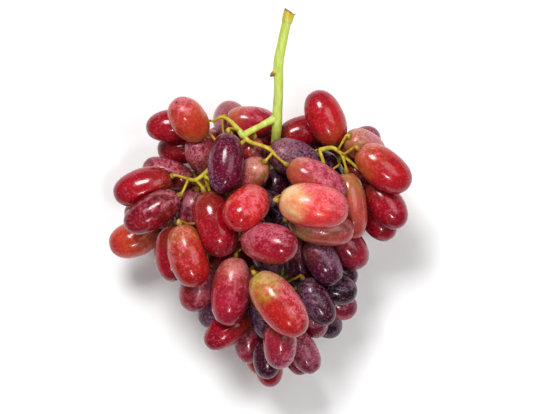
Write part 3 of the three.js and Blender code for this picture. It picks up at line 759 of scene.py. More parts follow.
@dataclass
class TwigTree:
    """Grows the twigs that carry the berries through the gaps between them."""

    highest: float = 8  # twigs leave the stalk below this place along the bunch
    spray_load: float = 4  # berries that a side spray's foot is taken to carry
    radius: float = 0.62  # of a twig that carries one berry
    growth: float = 0.33  # it grows with the load to this power
    most: float = 1.7  # and no further
    seat_gap: float = 0.35  # from the berry's end to the twig's
    skin_gap: float = 0.7  # between twigs and berries
    nearby: float = 5  # berries that are further off can't be touched
    tolerance: float = 0.45  # how far a left-out knot may lie from the twig
    bends: int = 40
    straighten: float = 0.3  # share of a kink that a round takes out

    @staticmethod
    def along_line(points: Array, step: float) -> Array:
        """Divides a line.

        Args:
            points: Its corners.
            step: The longest way from one point to the next.

        Returns:
            Points along it, the corners among them.
        """
        pieces = []
        for start, end in zip(points, points[1:]):
            count = math.ceil(np.linalg.norm(end - start) / step)
            pieces.append(start + (end - start) * np.linspace(0, 1, count + 1)[:, None])
        return np.concatenate(pieces)

    @staticmethod
    def nearest_on(lines: Sequence[Array], point: Array) -> Array:
        """Finds the point on any of the lines that lies nearest to a given one.

        Args:
            lines: Each a list of points.
            point: The given point.

        Returns:
            The nearest point.
        """
        start = np.concatenate([np.array(line[:-1]) for line in lines])
        way = np.concatenate([np.array(line[1:]) for line in lines]) - start
        square = np.maximum(TINY**2, np.sum(way * way, axis=1))
        share = np.sum((point - start) * way, axis=1) / square
        places = start + way * np.clip(share, 0, 1)[:, None]
        return places[np.argmin(np.linalg.norm(places - point, axis=1))]

    def bend_clear(self, knots: list[Array], radii: list[float], bodies: Bodies) -> None:
        """Bends a twig clear of the berries. Its two ends at the berry and its foot stay.

        Args:
            knots: Its knots, which move.
            radii: Its radius at each.
            bodies: The berries.
        """
        run = np.array(knots)
        distance = np.linalg.norm(bodies.at[:, None] - run[None], axis=2).min(axis=1)
        near = bodies.take(np.flatnonzero(distance < bodies.half + self.nearby))
        for _ in range(self.bends):
            for i in range(2, len(knots) - 1):
                straight = (knots[i - 1] + knots[i + 1]) / 2
                knots[i] = knots[i] + (straight - knots[i]) * self.straighten
                gap, _ = near.gap_to_point(knots[i])
                for n in np.flatnonzero(gap < radii[i] + self.skin_gap):
                    gap, away = near.take(np.array([n])).gap_to_point(knots[i])
                    knots[i] = knots[i] + away[0] * max(0.0, radii[i] + self.skin_gap - float(gap[0]))

    def thin_out(self, knots: list[Array], radii: list[float]) -> tuple[list[Array], list[float]]:
        """Leaves out the knots that a straight stretch doesn't need.

        Args:
            knots: The knots.
            radii: The radius at each.

        Returns:
            The knots and radii that are left.
        """
        if len(knots) < 3:
            return knots, radii
        line = [np.array([knots[0], knots[-1]])]
        far = [float(np.linalg.norm(self.nearest_on(line, knot) - knot)) for knot in knots[1:-1]]
        if max(far) < self.tolerance:
            return [knots[0], knots[-1]], [radii[0], radii[-1]]
        split = far.index(max(far)) + 1
        left = self.thin_out(knots[: split + 1], radii[: split + 1])
        right = self.thin_out(knots[split:], radii[split:])
        return left[0] + right[0][1:], left[1] + right[1][1:]

    def grow(self, berries: Sequence[Berry]) -> list[Twig]:
        """Grows the twigs of all berries.

        Args:
            berries: The settled berries.

        Returns:
            The twigs, those of the two side sprays first.
        """
        bodies = Bodies.of_berries(berries)
        space = FreeSpace(bodies)
        stalk, *branches = [np.array(line)[:, :3] for line in (STALK, *BRANCHES)]
        step = space.cell / 2
        trunk = [self.along_line(p, step) for p in (stalk[stalk[:, 1] < self.highest], *branches[:2])]
        first = space.spread_from(np.concatenate(trunk))
        side = [(line[0], space.way_back(first, line[0])) for line in branches[2:]]
        grown = [np.array([space.point_of(n) for n in way]) for _, way in side]
        arms = [self.along_line(line, step) for line in branches[2:]]
        back = space.spread_from(np.concatenate([*trunk, *arms, *grown]))
        loads: dict[int, int] = {}
        ends = []
        for berry in berries:
            end = berry.at - berry.axis * (berry.half + self.seat_gap)
            mouth = end - berry.axis * space.room_wanted
            way = space.way_back(back, mouth)
            for number in way:
                loads[number] = loads.get(number, 0) + 1
            ends.append((end, mouth, way))
        ends.sort(key=lambda entry: -len(entry[2]))
        lines = [stalk, *branches]
        twigs = []
        for end, way in side:
            side_loads = [self.spray_load] * len(way)
            twigs.append(self.run(end, None, way, side_loads, bodies, space, lines))
        taken: set[int] = set()
        for end, mouth, way in ends:
            stop = next((i for i, number in enumerate(way) if number in taken), len(way) - 1)
            own = way[: stop + 1]
            taken.update(own)
            twigs.append(self.run(end, mouth, own, [loads[n] for n in own], bodies, space, lines))
        return twigs

    def run(
        self,
        end: Array,
        mouth: Array | None,
        way: Sequence[int],
        loads: Sequence[float],
        bodies: Bodies,
        space: FreeSpace,
        lines: list[Array],
    ) -> Twig:
        """Turns one way into a twig, from its berry to its foot in what bears it.

        Args:
            end: Where it starts.
            mouth: The next point where it carries a berry, else None.
            way: The cells that it runs through.
            loads: How many berries it carries in each.
            bodies: The berries.
            space: The space that they leave.
            lines: What it may grow from; the twig's own line is added.

        Returns:
            The twig.
        """
        knots = [space.point_of(number) for number in way]
        radii = [min(self.most, self.radius * load**self.growth) for load in loads]
        if mouth is None:
            knots[0] = end
        else:
            knots[0], radii[0] = mouth, self.radius
            knots.insert(0, end)
            radii.insert(0, self.radius)
        foot = self.nearest_on(lines, knots[-1])
        if len(knots) < 3:
            knots.append(foot)
            radii.append(radii[-1])
        else:
            knots[-1] = foot
        self.bend_clear(knots, radii, bodies)
        lines.append(np.array(knots))
        rest, rest_radii = self.thin_out(knots[1:], radii[1:])
        return Twig([knots[0], *rest], [radii[0], *rest_radii], mouth is not None)


def grow(
    name: str, source: bpy.types.Mesh, tree: bpy.types.NodeTree, values: dict[str, Any]
) -> bpy.types.Object:
    """Runs a Geometry Nodes tree once and keeps what it makes as a plain mesh.

    Args:
        name: Name of the object.
        source: The mesh that the tree starts from.
        tree: The tree.
        values: Its inputs by name.

    Returns:
        An object at the origin that holds the result.
    """
    piece = bpy.data.objects.new(name, source)
    bpy.context.scene.collection.objects.link(piece)
    modifier = piece.modifiers.new("grow", "NODES")
    modifier.node_group = tree
    for item in tree.interface.items_tree:
        if item.in_out == "INPUT" and item.name in values:
            modifier[item.identifier] = values[item.name]
    graph = bpy.context.evaluated_depsgraph_get()
    made = bpy.data.meshes.new_from_object(piece.evaluated_get(graph))
    made.name = name
    piece.modifiers.remove(modifier)
    piece.data = made
    return piece


def new_tree(name: str, inputs: dict[str, str]) -> tuple[bpy.types.NodeTree, bpy.types.Node]:
    """Starts a Geometry Nodes tree.

    Args:
        name: Its name.
        inputs: Its named inputs and the type of each, after the geometry.

    Returns:
        The tree and its input node.
    """
    tree = bpy.data.node_groups.new(name, "GeometryNodeTree")
    for label, kind in {"Geometry": "NodeSocketGeometry", **inputs}.items():
        tree.interface.new_socket(label, in_out="INPUT", socket_type=kind)
    tree.interface.new_socket("Geometry", in_out="OUTPUT", socket_type="NodeSocketGeometry")
    return tree, tree.nodes.new("NodeGroupInput")


def finish_tree(tree: bpy.types.NodeTree, start: bpy.types.Node, shape: bpy.types.NodeSocket) -> None:
    """Ends a tree: smooth shading, real instances and the finish.

    Args:
        tree: The tree.
        start: Its input node, which has a Finish input.
        shape: The geometry to end with.
    """
    smooth = add_node(tree, "GeometryNodeSetShadeSmooth", None, {"Geometry": shape})
    real = add_node(tree, "GeometryNodeRealizeInstances", None, {"Geometry": smooth})
    dressed = add_node(
        tree, "GeometryNodeSetMaterial", None, {"Geometry": real, "Material": start.outputs["Finish"]}
    )
    add_node(tree, "NodeGroupOutput", None, {"Geometry": dressed})


def set_attribute(mesh: bpy.types.Mesh, name: str, kind: str, values: Array | Sequence[Any]) -> None:
    """Stores values on the points of a mesh.

    Args:
        mesh: The mesh.
        name: Name of the attribute.
        kind: FLOAT, FLOAT_VECTOR or FLOAT_COLOR.
        values: One row for each point.
    """
    key = {"FLOAT": "value", "FLOAT_VECTOR": "vector", "FLOAT_COLOR": "color"}[kind]
    attribute = mesh.attributes.new(name, kind, "POINT")
    attribute.data.foreach_set(key, np.asarray(values, np.float32).ravel())


def points_of(mesh: bpy.types.Mesh) -> Array:
    """Reads where a mesh's points are.

    Args:
        mesh: The mesh.

    Returns:
        A row for each point, in metres.
    """
    places = np.empty(len(mesh.vertices) * 3, np.float32)
    mesh.vertices.foreach_get("co", places)
    return places.reshape(-1, 3).astype(float)


def read_attribute(mesh: bpy.types.Mesh, name: str) -> Array:
    """Reads a number that is stored on each point of a mesh.

    Args:
        mesh: The mesh.
        name: Name of the attribute.

    Returns:
        The numbers.
    """
    values = np.empty(len(mesh.vertices), np.float32)
    mesh.attributes[name].data.foreach_get("value", values)
    return values


@dataclass(frozen=True)
class GrapeSkin:
    """Ripe grape skin: a thin tight cuticle over watery flesh, under a waxy bloom.

    The skin is smooth and shines where it is wet or rubbed. The bloom is a powdery wax, thick on
    one side of a berry and rubbed off the other. It breaks up into fine specks and dulls the
    shine. Light goes a few millimetres into the flesh, and the bare side's colour is mixed towards
    a lighter flesh tint as a painted glow of that light. Each berry's own colours come as attributes.
    """

    name: str
    slot: str
    bloom_tint: str
    grain_tint: str
    # Colour of the flesh: partly its own, partly a painted glow of light shining out through it.
    flesh_tint: str
    bloom_strength: float
    frost_reach: float  # how far round the berry the bloom runs
    clearness: float  # how much of the flesh's colour, with its painted glow, shows
    coat: float  # how wet it looks
    dust: float  # how much the grains on bare skin show
    scar_tint: str = "#2c120e"
    seat_tint: str = "#6e4c22"
    scar_mm: Span = (0.4, 0.75)  # from the axis to where the tip's scar fades
    seat_mm: Span = (1.3, 2.6)  # and the corky ring round the stem
    patch_mm: float = 6.5  # ripening patches
    cloud_mm: float = 3.2  # patches in the bloom
    speck_mm: float = 1.1  # real grains of wax are far finer; coarser, so that they show
    pit_mm: float = 1.5  # cells with a corky dot in each
    pit_spread: float = 0.26  # how much the dots' sizes differ, in cells
    pit_span: Span = (-0.02, 0.05)  # from the edge of a dot to the clean skin
    pit_depth: float = 0.3  # how dark the dots are
    mark_depth: float = 0.9  # and the scar and the ring
    flames: float = 1.3  # how far the patches push the edge of the unripe end
    unripe_span: Span = (0.0, -0.9)  # along a berry, 0 at its middle and 1 at its tip
    ripe_span: Span = (0.3, 1.1)
    ripe_most: float = 0.9
    mottling: float = 2.4  # how much the patches break up the clear side and its painted glow
    clear_span: Span = (-0.7, 0.6)
    shade_span: Span = (0.3, 0.7)  # the flesh is unevenly dark, by this range of the clouds
    shade_range: Span = (0.76, 1.16)
    cloud_share: float = 2.6  # how much clouds and specks fray the edge of the bloom
    speck_share: float = 1.3
    cover_span: Span = (2.55, 3.15)
    swarm_span: Span = (0.36, 0.56)
    swarm_least: float = 0.35  # share of the specks that there are between the swarms
    pepper: float = 0.9  # how bare the specks in the bloom are
    pepper_span: Span = (0.49, 0.54)
    dust_span: Span = (0.47, 0.4)
    clean_roughness: float = 0.19
    bloom_roughness: float = 0.5
    wave_mm: float = 0.25  # heights of the bumps
    powder_mm: float = 0.03
    flesh_mm: float = 3  # how far light goes into the flesh

    def build(self) -> bpy.types.Material:
        """Builds the material.

        Returns:
            The material.
        """
        smoothstep = {"interpolation_type": "SMOOTHSTEP"}
        blend = {"data_type": "RGBA"}
        scaled_sum = {"operation": "MULTIPLY_ADD"}
        product = {"operation": "MULTIPLY"}
        material = bpy.data.materials.new(self.name)
        material.use_nodes = True
        tree = material.node_tree
        tree.nodes.clear()
        place = add_node(tree, "ShaderNodeTexCoord", output="Object")
        side_tint, shoulder_tint, tip_tint = (
            add_node(tree, "ShaderNodeAttribute", {"attribute_name": name}, output="Color")
            for name in ("side_tint", "shoulder_tint", "tip_tint")
        )
        along, bloom, off_axis, frost = (
            add_node(tree, "ShaderNodeAttribute", {"attribute_name": name}, output="Fac")
            for name in ("along", "bloom", "off_axis", "frost")
        )
        patch, cloud, speck = (
            add_node(
                tree,
                NOISE,
                None,
                {"Vector": place, "Scale": 1 / (size * MM), "Detail": detail, "Roughness": rough},
            )
            for size, detail, rough in (
                (self.patch_mm, 3.0, 0.55),
                (self.cloud_mm, 5.0, 0.65),
                (self.speck_mm, 3.0, 0.7),
            )
        )
        # Ripening starts at the tip: the stem end keeps the unripe colour, in ragged flames.
        drift = add_node(tree, MATH, scaled_sum, {0: patch, 1: self.flames, 2: -self.flames / 2})
        wander = add_node(tree, MATH, {"operation": "ADD"}, {0: along, 1: drift})
        colour = side_tint
        for span, most, tint in (
            (self.unripe_span, 1.0, shoulder_tint),
            (self.ripe_span, self.ripe_most, tip_tint),
        ):
            amount = add_node(
                tree,
                RANGE,
                smoothstep,
                {"Value": wander, "From Min": span[0], "From Max": span[1], "To Min": 0.0, "To Max": most},
            )
            colour = add_node(tree, MIX, blend, {"Factor": amount, "A": colour, "B": tint})
        # The side without bloom is clearer, and its colour is mixed towards the lighter flesh tint: partly
        # the flesh's own colour, partly a painted glow of light shining out through the flesh.
        averted = add_node(tree, MATH, scaled_sum, {0: patch, 1: self.mottling, 2: -self.mottling / 2})
        lit = add_node(tree, MATH, {"operation": "SUBTRACT"}, {0: averted, 1: frost})
        clear = add_node(
            tree,
            RANGE,
            smoothstep,
            {
                "Value": lit,
                "From Min": self.clear_span[0],
                "From Max": self.clear_span[1],
                "To Min": 0.0,
                "To Max": self.clearness,
            },
        )
        colour = add_node(tree, MIX, blend, {"Factor": clear, "A": colour, "B": linear(self.flesh_tint)})
        flesh = add_node(
            tree,
            RANGE,
            None,
            {
                "Value": cloud,
                "From Min": self.shade_span[0],
                "From Max": self.shade_span[1],
                "To Min": self.shade_range[0],
                "To Max": self.shade_range[1],
            },
        )
        colour = add_node(tree, VECTOR, {"operation": "SCALE"}, {"Vector": colour, "Scale": flesh})
        # Bloom: how thick it lies, with ragged edges where it is rubbed off.
        turned = add_node(tree, MATH, scaled_sum, {0: frost, 1: self.frost_reach, 2: bloom})
        clouded = add_node(tree, MATH, scaled_sum, {0: cloud, 1: self.cloud_share, 2: turned})
        ragged = add_node(tree, MATH, scaled_sum, {0: speck, 1: self.speck_share, 2: clouded})
        cover = add_node(
            tree,
            RANGE,
            smoothstep,
            {"Value": ragged, "From Min": self.cover_span[0], "From Max": self.cover_span[1]},
        )
        # It is peppered with fine bare specks, in swarms.
        swarm = add_node(
            tree,
            RANGE,
            None,
            {
                "Value": patch,
                "From Min": self.swarm_span[0],
                "From Max": self.swarm_span[1],
                "To Min": self.swarm_least,
                "To Max": 1.0,
            },
        )
        speckled, dust = (
            add_node(
                tree,
                RANGE,
                smoothstep,
                {"Value": speck, "From Min": span[0], "From Max": span[1], "To Min": 0.0, "To Max": most},
            )
            for span, most in ((self.pepper_span, self.pepper), (self.dust_span, self.dust))
        )
        pepper = add_node(tree, MATH, product, {0: speckled, 1: swarm})
        cells = add_node(
            tree, "ShaderNodeTexVoronoi", None, {"Vector": place, "Scale": 1 / (self.pit_mm * MM)}
        )
        draw = add_node(
            tree, "ShaderNodeSeparateColor", None, {"Color": cells.node.outputs["Color"]}, output="Red"
        )
        wide = add_node(tree, MATH, scaled_sum, {0: draw, 1: -self.pit_spread, 2: cells})
        dot = add_node(
            tree,
            RANGE,
            None,
            {
                "Value": wide,
                "From Min": self.pit_span[0],
                "From Max": self.pit_span[1],
                "To Min": 1.0,
                "To Max": 0.0,
            },
        )
        holes = add_node(tree, MATH, {"operation": "MAXIMUM"}, {0: dot, 1: pepper})
        whole = add_node(tree, MATH, {"operation": "SUBTRACT"}, {0: 1.0, 1: holes})
        veil = add_node(tree, MATH, product, {0: cover, 1: whole})
        # Loose grains of wax lie on the bare skin too. Corky dots break through both.
        for amount, strength, tint in (
            (veil, self.bloom_strength, self.bloom_tint),
            (dust, swarm, self.grain_tint),
            (dot, self.pit_depth, self.scar_tint),
        ):
            share = add_node(tree, MATH, product, {0: amount, 1: strength})
            colour = add_node(tree, MIX, blend, {"Factor": share, "A": colour, "B": linear(tint)})
        # The dry scar of the flower at the tip, and the corky ring round the stem.
        for span, test, tint in (
            (self.scar_mm, "GREATER_THAN", self.scar_tint),
            (self.seat_mm, "LESS_THAN", self.seat_tint),
        ):
            end = add_node(tree, MATH, {"operation": test}, {0: along, 1: 0.0})
            close = add_node(
                tree,
                RANGE,
                smoothstep,
                {
                    "Value": off_axis,
                    "From Min": span[0],
                    "From Max": span[1],
                    "To Min": self.mark_depth,
                    "To Max": 0.0,
                },
            )
            here = add_node(tree, MATH, product, {0: close, 1: end})
            colour = add_node(tree, MIX, blend, {"Factor": here, "A": colour, "B": linear(tint)})
        roughness = add_node(
            tree,
            RANGE,
            None,
            {"Value": veil, "To Min": self.clean_roughness, "To Max": self.bloom_roughness},
        )
        wavy = add_node(
            tree, "ShaderNodeBump", None, {"Strength": 0.3, "Distance": self.wave_mm * MM, "Height": cloud}
        )
        powder = add_node(
            tree,
            "ShaderNodeBump",
            None,
            {"Strength": 0.25, "Distance": self.powder_mm * MM, "Height": veil, "Normal": wavy},
        )
        skin = add_node(
            tree,
            "ShaderNodeBsdfPrincipled",
            {"subsurface_method": "RANDOM_WALK"},
            {
                "Base Color": colour,
                "Roughness": roughness,
                "Normal": powder,
                "IOR": 1.44,
                "Subsurface Weight": 0.22,
                "Subsurface Radius": (1.0, 0.25, 0.18),
                "Subsurface Scale": self.flesh_mm * MM,
                "Coat Weight": self.coat,
                "Coat Roughness": 0.07,
                "Coat IOR": 1.4,
                "Sheen Weight": 0.06,
                "Sheen Roughness": 0.3,
                "Sheen Tint": linear(self.bloom_tint),
            },
        )
        add_node(tree, "ShaderNodeOutputMaterial", None, {"Surface": skin})
        return material


@dataclass(frozen=True)
class GreenWood:
    """Fresh vine stalk: soft green bark with fine ridges along it, corky and ochre on the thin twigs.

    It is matt with a slight waxy sheen, paler on the raised ridges and brown where it is scarred.
    """

    name: str = "green_stalk"
    slot: str = "stem"
    young_tint: str = "#c4d270"
    shade_tint: str = "#a2b240"
    twig_tint: str = "#cdb33a"
    twig_shade: str = "#98801c"
    cork_tint: str = "#85581f"
    dead_tint: str = "#2e2010"
    grain_mm: float = 0.9  # fibres are 0.1 mm wide; coarser, so that they show
    cloud_mm: float = 2.5
    drawn_out: tuple[float, float, float] = (1, 0.12, 1)  # grain and clouds are long along the bunch
    shade_span: Span = (0.4, 0.7)  # the clouds turn the bark darker
    shade_most: float = 0.8
    ridge_span: Span = (0.35, 0.65)  # the fibres make fine ridges, pale on top
    ridge_range: Span = (0.88, 1.08)
    ridge_mm: float = 0.15
    cork_share: float = 1.2
    cork_span: Span = (0.68, 1.1)  # corky wood is brown in clouds, and dead wood all over
    dead_span: Span = (0.75, 1.0)
    brown_most: float = 0.85

    def build(self) -> bpy.types.Material:
        """Builds the material.

        Returns:
            The material.
        """
        material = bpy.data.materials.new(self.name)
        material.use_nodes = True
        tree = material.node_tree
        tree.nodes.clear()
        place = add_node(tree, "ShaderNodeTexCoord", output="Object")
        blend = {"data_type": "RGBA"}
        thin, cork = (
            add_node(tree, "ShaderNodeAttribute", {"attribute_name": name}, output="Fac")
            for name in ("thinness", "cork")
        )
        fibres = add_node(tree, "ShaderNodeMapping", None, {"Vector": place, "Scale": self.drawn_out})
        grain, cloud = (
            add_node(
                tree,
                NOISE,
                None,
                {"Vector": fibres, "Scale": 1 / (size * MM), "Detail": detail, "Roughness": 0.6},
            )
            for size, detail in ((self.grain_mm, 4.0), (self.cloud_mm, 5.0))
        )
        shade, ridge = (
            add_node(
                tree,
                RANGE,
                None,
                {"Value": pattern, "From Min": a, "From Max": b, "To Min": low, "To Max": high},
            )
            for pattern, (a, b), (low, high) in (
                (cloud, self.shade_span, (0.0, self.shade_most)),
                (grain, self.ridge_span, self.ridge_range),
            )
        )
        stalk, twig = (
            add_node(tree, MIX, blend, {"Factor": shade, "A": linear(light), "B": linear(dark)})
            for light, dark in ((self.young_tint, self.shade_tint), (self.twig_tint, self.twig_shade))
        )
        colour = add_node(tree, MIX, blend, {"Factor": thin, "A": stalk, "B": twig})
        colour = add_node(tree, VECTOR, {"operation": "SCALE"}, {"Vector": colour, "Scale": ridge})
        corked = add_node(
            tree, MATH, {"operation": "MULTIPLY_ADD"}, {0: cork, 1: self.cork_share, 2: cloud}
        )
        for amount, (a, b), tint in (
            (corked, self.cork_span, self.cork_tint),
            (cork, self.dead_span, self.dead_tint),
        ):
            brown = add_node(
                tree,
                RANGE,
                None,
                {"Value": amount, "From Min": a, "From Max": b, "To Min": 0.0, "To Max": self.brown_most},
            )
            colour = add_node(tree, MIX, blend, {"Factor": brown, "A": colour, "B": linear(tint)})
        bump = add_node(
            tree, "ShaderNodeBump", None, {"Strength": 0.5, "Distance": self.ridge_mm * MM, "Height": grain}
        )
        bark = add_node(
            tree,
            "ShaderNodeBsdfPrincipled",
            None,
            {
                "Base Color": colour,
                "Roughness": 0.5,
                "Normal": bump,
                "IOR": 1.45,
                "Subsurface Weight": 0.12,
                "Subsurface Radius": (0.8, 1.0, 0.3),
                "Subsurface Scale": 1 * MM,
            },
        )
        add_node(tree, "ShaderNodeOutputMaterial", None, {"Surface": bark})
        return material


@dataclass(frozen=True)
class PaleFloor:
    """Matt white board: even, slightly rough."""

    name: str = "pale_board"
    tint: str = "#f7f7f7"
    roughness: float = 0.9

    def build(self) -> bpy.types.Material:
        """Builds the material.

        Returns:
            The material.
        """
        material = bpy.data.materials.new(self.name)
        material.use_nodes = True
        board = material.node_tree.nodes["Principled BSDF"]
        board.inputs["Base Color"].default_value = linear(self.tint)
        board.inputs["Roughness"].default_value = self.roughness
        return material


@dataclass
class GrapeBunch:
    """All berries, one piece for each spray."""

    berries: list[Berry]
    middle: Array
    red: GrapeSkin
    dark: GrapeSkin
    fullness: float = 2.25  # 2 is an ellipsoid, and more is blunter
    segments: int = 60
    rings: int = 40
    dimple: float = 0.05  # depth at the stem, as a share of the half length
    dimple_width: float = 0.2
    lump_mm: float = 9
    lump_height_mm: float = 0.5
    soft_mm: float = 0.12  # how gently a skin turns into a flat
    soft_reach: float = 6  # the turn is over at this many times that
    parting_mm: float = 0.04  # half the room left between two flats
    frost_side: tuple[float, float, float] = (0.1, 0.5, 0.45)  # where the bloom is thickest
    frost_scatter: float = 1.0  # and how far that differs from berry to berry
    frost_seed: int = 20502

    def tree(self) -> bpy.types.NodeTree:
        """Builds the tree that grows a blunt berry on every point, turned and sized by its attributes.

        Returns:
            The tree.
        """
        tree, start = new_tree(
            "berries",
            {
                "Segments": "NodeSocketInt",
                "Rings": "NodeSocketInt",
                "Fullness": "NodeSocketFloat",
                "Dimple": "NodeSocketFloat",
                "Dimple Width": "NodeSocketFloat",
                "Lump Size": "NodeSocketFloat",
                "Lump Height": "NodeSocketFloat",
                "Finish": "NodeSocketMaterial",
            },
        )
        given = start.outputs
        ball = add_node(
            tree,
            "GeometryNodeMeshUVSphere",
            None,
            {"Segments": given["Segments"], "Rings": given["Rings"], "Radius": 1.0},
        )
        place = add_node(tree, "GeometryNodeInputPosition")
        height = add_node(tree, "ShaderNodeSeparateXYZ", None, {"Vector": place}, output="Z")
        across = add_node(tree, VECTOR, {"operation": "MULTIPLY"}, {0: place, 1: (1, 1, 0)})
        outwards = add_node(tree, VECTOR, {"operation": "NORMALIZE"}, {0: across})
        # Width at a height: (1 - height ^ fullness) ^ (1 / fullness).
        level = add_node(tree, MATH, {"operation": "ABSOLUTE"}, {0: height})
        full = add_node(tree, MATH, {"operation": "POWER"}, {0: level, 1: given["Fullness"]})
        left = add_node(tree, MATH, {"operation": "SUBTRACT", "use_clamp": True}, {0: 1.0, 1: full})
        root = add_node(tree, MATH, {"operation": "DIVIDE"}, {0: 1.0, 1: given["Fullness"]})
        width = add_node(tree, MATH, {"operation": "POWER"}, {0: left, 1: root})
        # The stem end is drawn in round the stem.
        share = add_node(tree, MATH, {"operation": "DIVIDE"}, {0: width, 1: given["Dimple Width"]})
        square = add_node(tree, MATH, {"operation": "MULTIPLY"}, {0: share, 1: share})
        falling = add_node(tree, MATH, {"operation": "MULTIPLY"}, {0: square, 1: -1.0})
        bell = add_node(tree, MATH, {"operation": "EXPONENT"}, {0: falling})
        below = add_node(tree, MATH, {"operation": "LESS_THAN"}, {0: height, 1: 0.0})
        hollow = add_node(tree, MATH, {"operation": "MULTIPLY"}, {0: bell, 1: below})
        drawn_in = add_node(
            tree, MATH, {"operation": "MULTIPLY_ADD"}, {0: hollow, 1: given["Dimple"], 2: height}
        )
        up = add_node(tree, "ShaderNodeCombineXYZ", None, {"Z": drawn_in})
        radial = add_node(tree, VECTOR, {"operation": "SCALE"}, {"Vector": outwards, "Scale": width})
        shape = add_node(tree, VECTOR, {"operation": "ADD"}, {0: radial, 1: up})
        berry = add_node(tree, "GeometryNodeSetPosition", None, {"Geometry": ball, "Position": shape})
        for name, value in (("along", height), ("width_share", width)):
            berry = add_node(
                tree,
                "GeometryNodeStoreNamedAttribute",
                {"data_type": "FLOAT", "domain": "POINT"},
                {"Geometry": berry, "Name": name, "Value": value},
            )
        axis, size = (
            add_node(tree, "GeometryNodeInputNamedAttribute", {"data_type": "FLOAT_VECTOR"}, {"Name": name})
            for name in ("tip_axis", "berry_size")
        )
        turn = add_node(tree, "FunctionNodeAlignRotationToVector", {"axis": "Z"}, {"Vector": axis})
        grown = add_node(
            tree,
            "GeometryNodeInstanceOnPoints",
            None,
            {"Points": given["Geometry"], "Instance": berry, "Rotation": turn, "Scale": size},
        )
        real = add_node(tree, "GeometryNodeRealizeInstances", None, {"Geometry": grown})
        scale = add_node(tree, MATH, {"operation": "DIVIDE"}, {0: 1.0, 1: given["Lump Size"]})
        noise = add_node(tree, NOISE, None, {"Scale": scale, "Detail": 1.0})
        swing = add_node(tree, MATH, {"operation": "SUBTRACT"}, {0: noise, 1: 0.5})
        rise = add_node(tree, MATH, {"operation": "MULTIPLY"}, {0: swing, 1: given["Lump Height"]})
        normal = add_node(tree, "GeometryNodeInputNormal")
        lump = add_node(tree, VECTOR, {"operation": "SCALE"}, {"Vector": normal, "Scale": rise})
        lumpy = add_node(tree, "GeometryNodeSetPosition", None, {"Geometry": real, "Offset": lump})
        finish_tree(tree, start, lumpy)
        return tree

    def source(self, name: str, members: Sequence[Berry]) -> bpy.types.Mesh:
        """Makes the points that the berries grow on.

        Args:
            name: Name of the mesh.
            members: The berries.

        Returns:
            A mesh of single points with what each berry needs.
        """
        mesh = bpy.data.meshes.new(name)
        mesh.from_pydata([tuple((b.at - self.middle) * MM) for b in members], [], [])
        set_attribute(mesh, "tip_axis", "FLOAT_VECTOR", [b.axis for b in members])
        sizes = [(b.radius * MM, b.radius * MM, b.half * MM) for b in members]
        set_attribute(mesh, "berry_size", "FLOAT_VECTOR", sizes)
        set_attribute(mesh, "number", "FLOAT", range(len(members)))
        set_attribute(mesh, "bloom", "FLOAT", [b.tone.bloom for b in members])
        for n, tint in enumerate(("side_tint", "shoulder_tint", "tip_tint")):
            set_attribute(mesh, tint, "FLOAT_COLOR", [linear(b.tone.tints[n]) for b in members])
        return mesh

    def flatten(self, places: Array, point: Array, direction: Array, softness: float) -> Array:
        """Presses points flat against a plane.

        Args:
            places: The points.
            point: A point of the plane.
            direction: The side of the plane that has to be empty.
            softness: How gently the skin turns into the flat.

        Returns:
            The points, none of them beyond the plane.
        """
        beyond = (places - point) @ direction
        kept = -softness * np.logaddexp(0, -beyond / softness)
        near = beyond > -self.soft_reach * softness
        return places + direction * np.where(near, kept - beyond, 0)[:, None]

    def press(self, mesh: bpy.types.Mesh, members: Sequence[Berry]) -> None:
        """Presses the berries of a spray flat where they touch each other or the surface.

        Args:
            mesh: The berries' mesh.
            members: The berries in the order of the mesh's numbers.
        """
        places = points_of(mesh)
        number = np.rint(read_attribute(mesh, "number")).astype(int)
        bodies = Bodies.of_berries(members)
        for i in range(len(members)):
            own = number == i
            mine = places[own] / MM + self.middle
            for j in range(len(members)):
                if i == j:
                    continue
                a, b = min(i, j), max(i, j)
                one, other = (bodies.take(np.array([n])) for n in (a, b))
                gap, direction, s = one.gap_to(other)
                if gap[0] > self.parting_mm:
                    continue
                start = one.at[0] + one.axis[0] * s[0]
                contact = start + direction[0] * (one.radius_at(s)[0] + gap[0] / 2)
                side = direction[0] if i == a else -direction[0]
                mine = self.flatten(mine, contact - side * self.parting_mm, side, self.soft_mm)
            mine = self.flatten(mine, np.zeros(3), np.array((0.0, 0.0, -1.0)), self.soft_mm)
            places[own] = (mine - self.middle) * MM
        mesh.vertices.foreach_set("co", places.astype(np.float32).ravel())
        mesh.update()

    def frost(self, mesh: bpy.types.Mesh, numbers: Sequence[int]) -> None:
        """Marks how far each point looks to the side of its berry where the bloom is thickest.

        Args:
            mesh: The berries' mesh.
            numbers: Which berries of the bunch these are.
        """
        draw = seeded_random(self.frost_seed)
        scatter = np.array([[draw() * 2 - 1 for _ in range(3)] for _ in self.berries])
        sides = np.array(self.frost_side) + scatter[list(numbers)] * self.frost_scatter
        sides /= np.linalg.norm(sides, axis=1)[:, None]
        normals = np.empty(len(mesh.vertices) * 3, np.float32)
        mesh.vertex_normals.foreach_get("vector", normals)
        number = np.rint(read_attribute(mesh, "number")).astype(int)
        facing = np.sum(normals.reshape(-1, 3) * sides[number], axis=1)
        set_attribute(mesh, "frost", "FLOAT", facing)

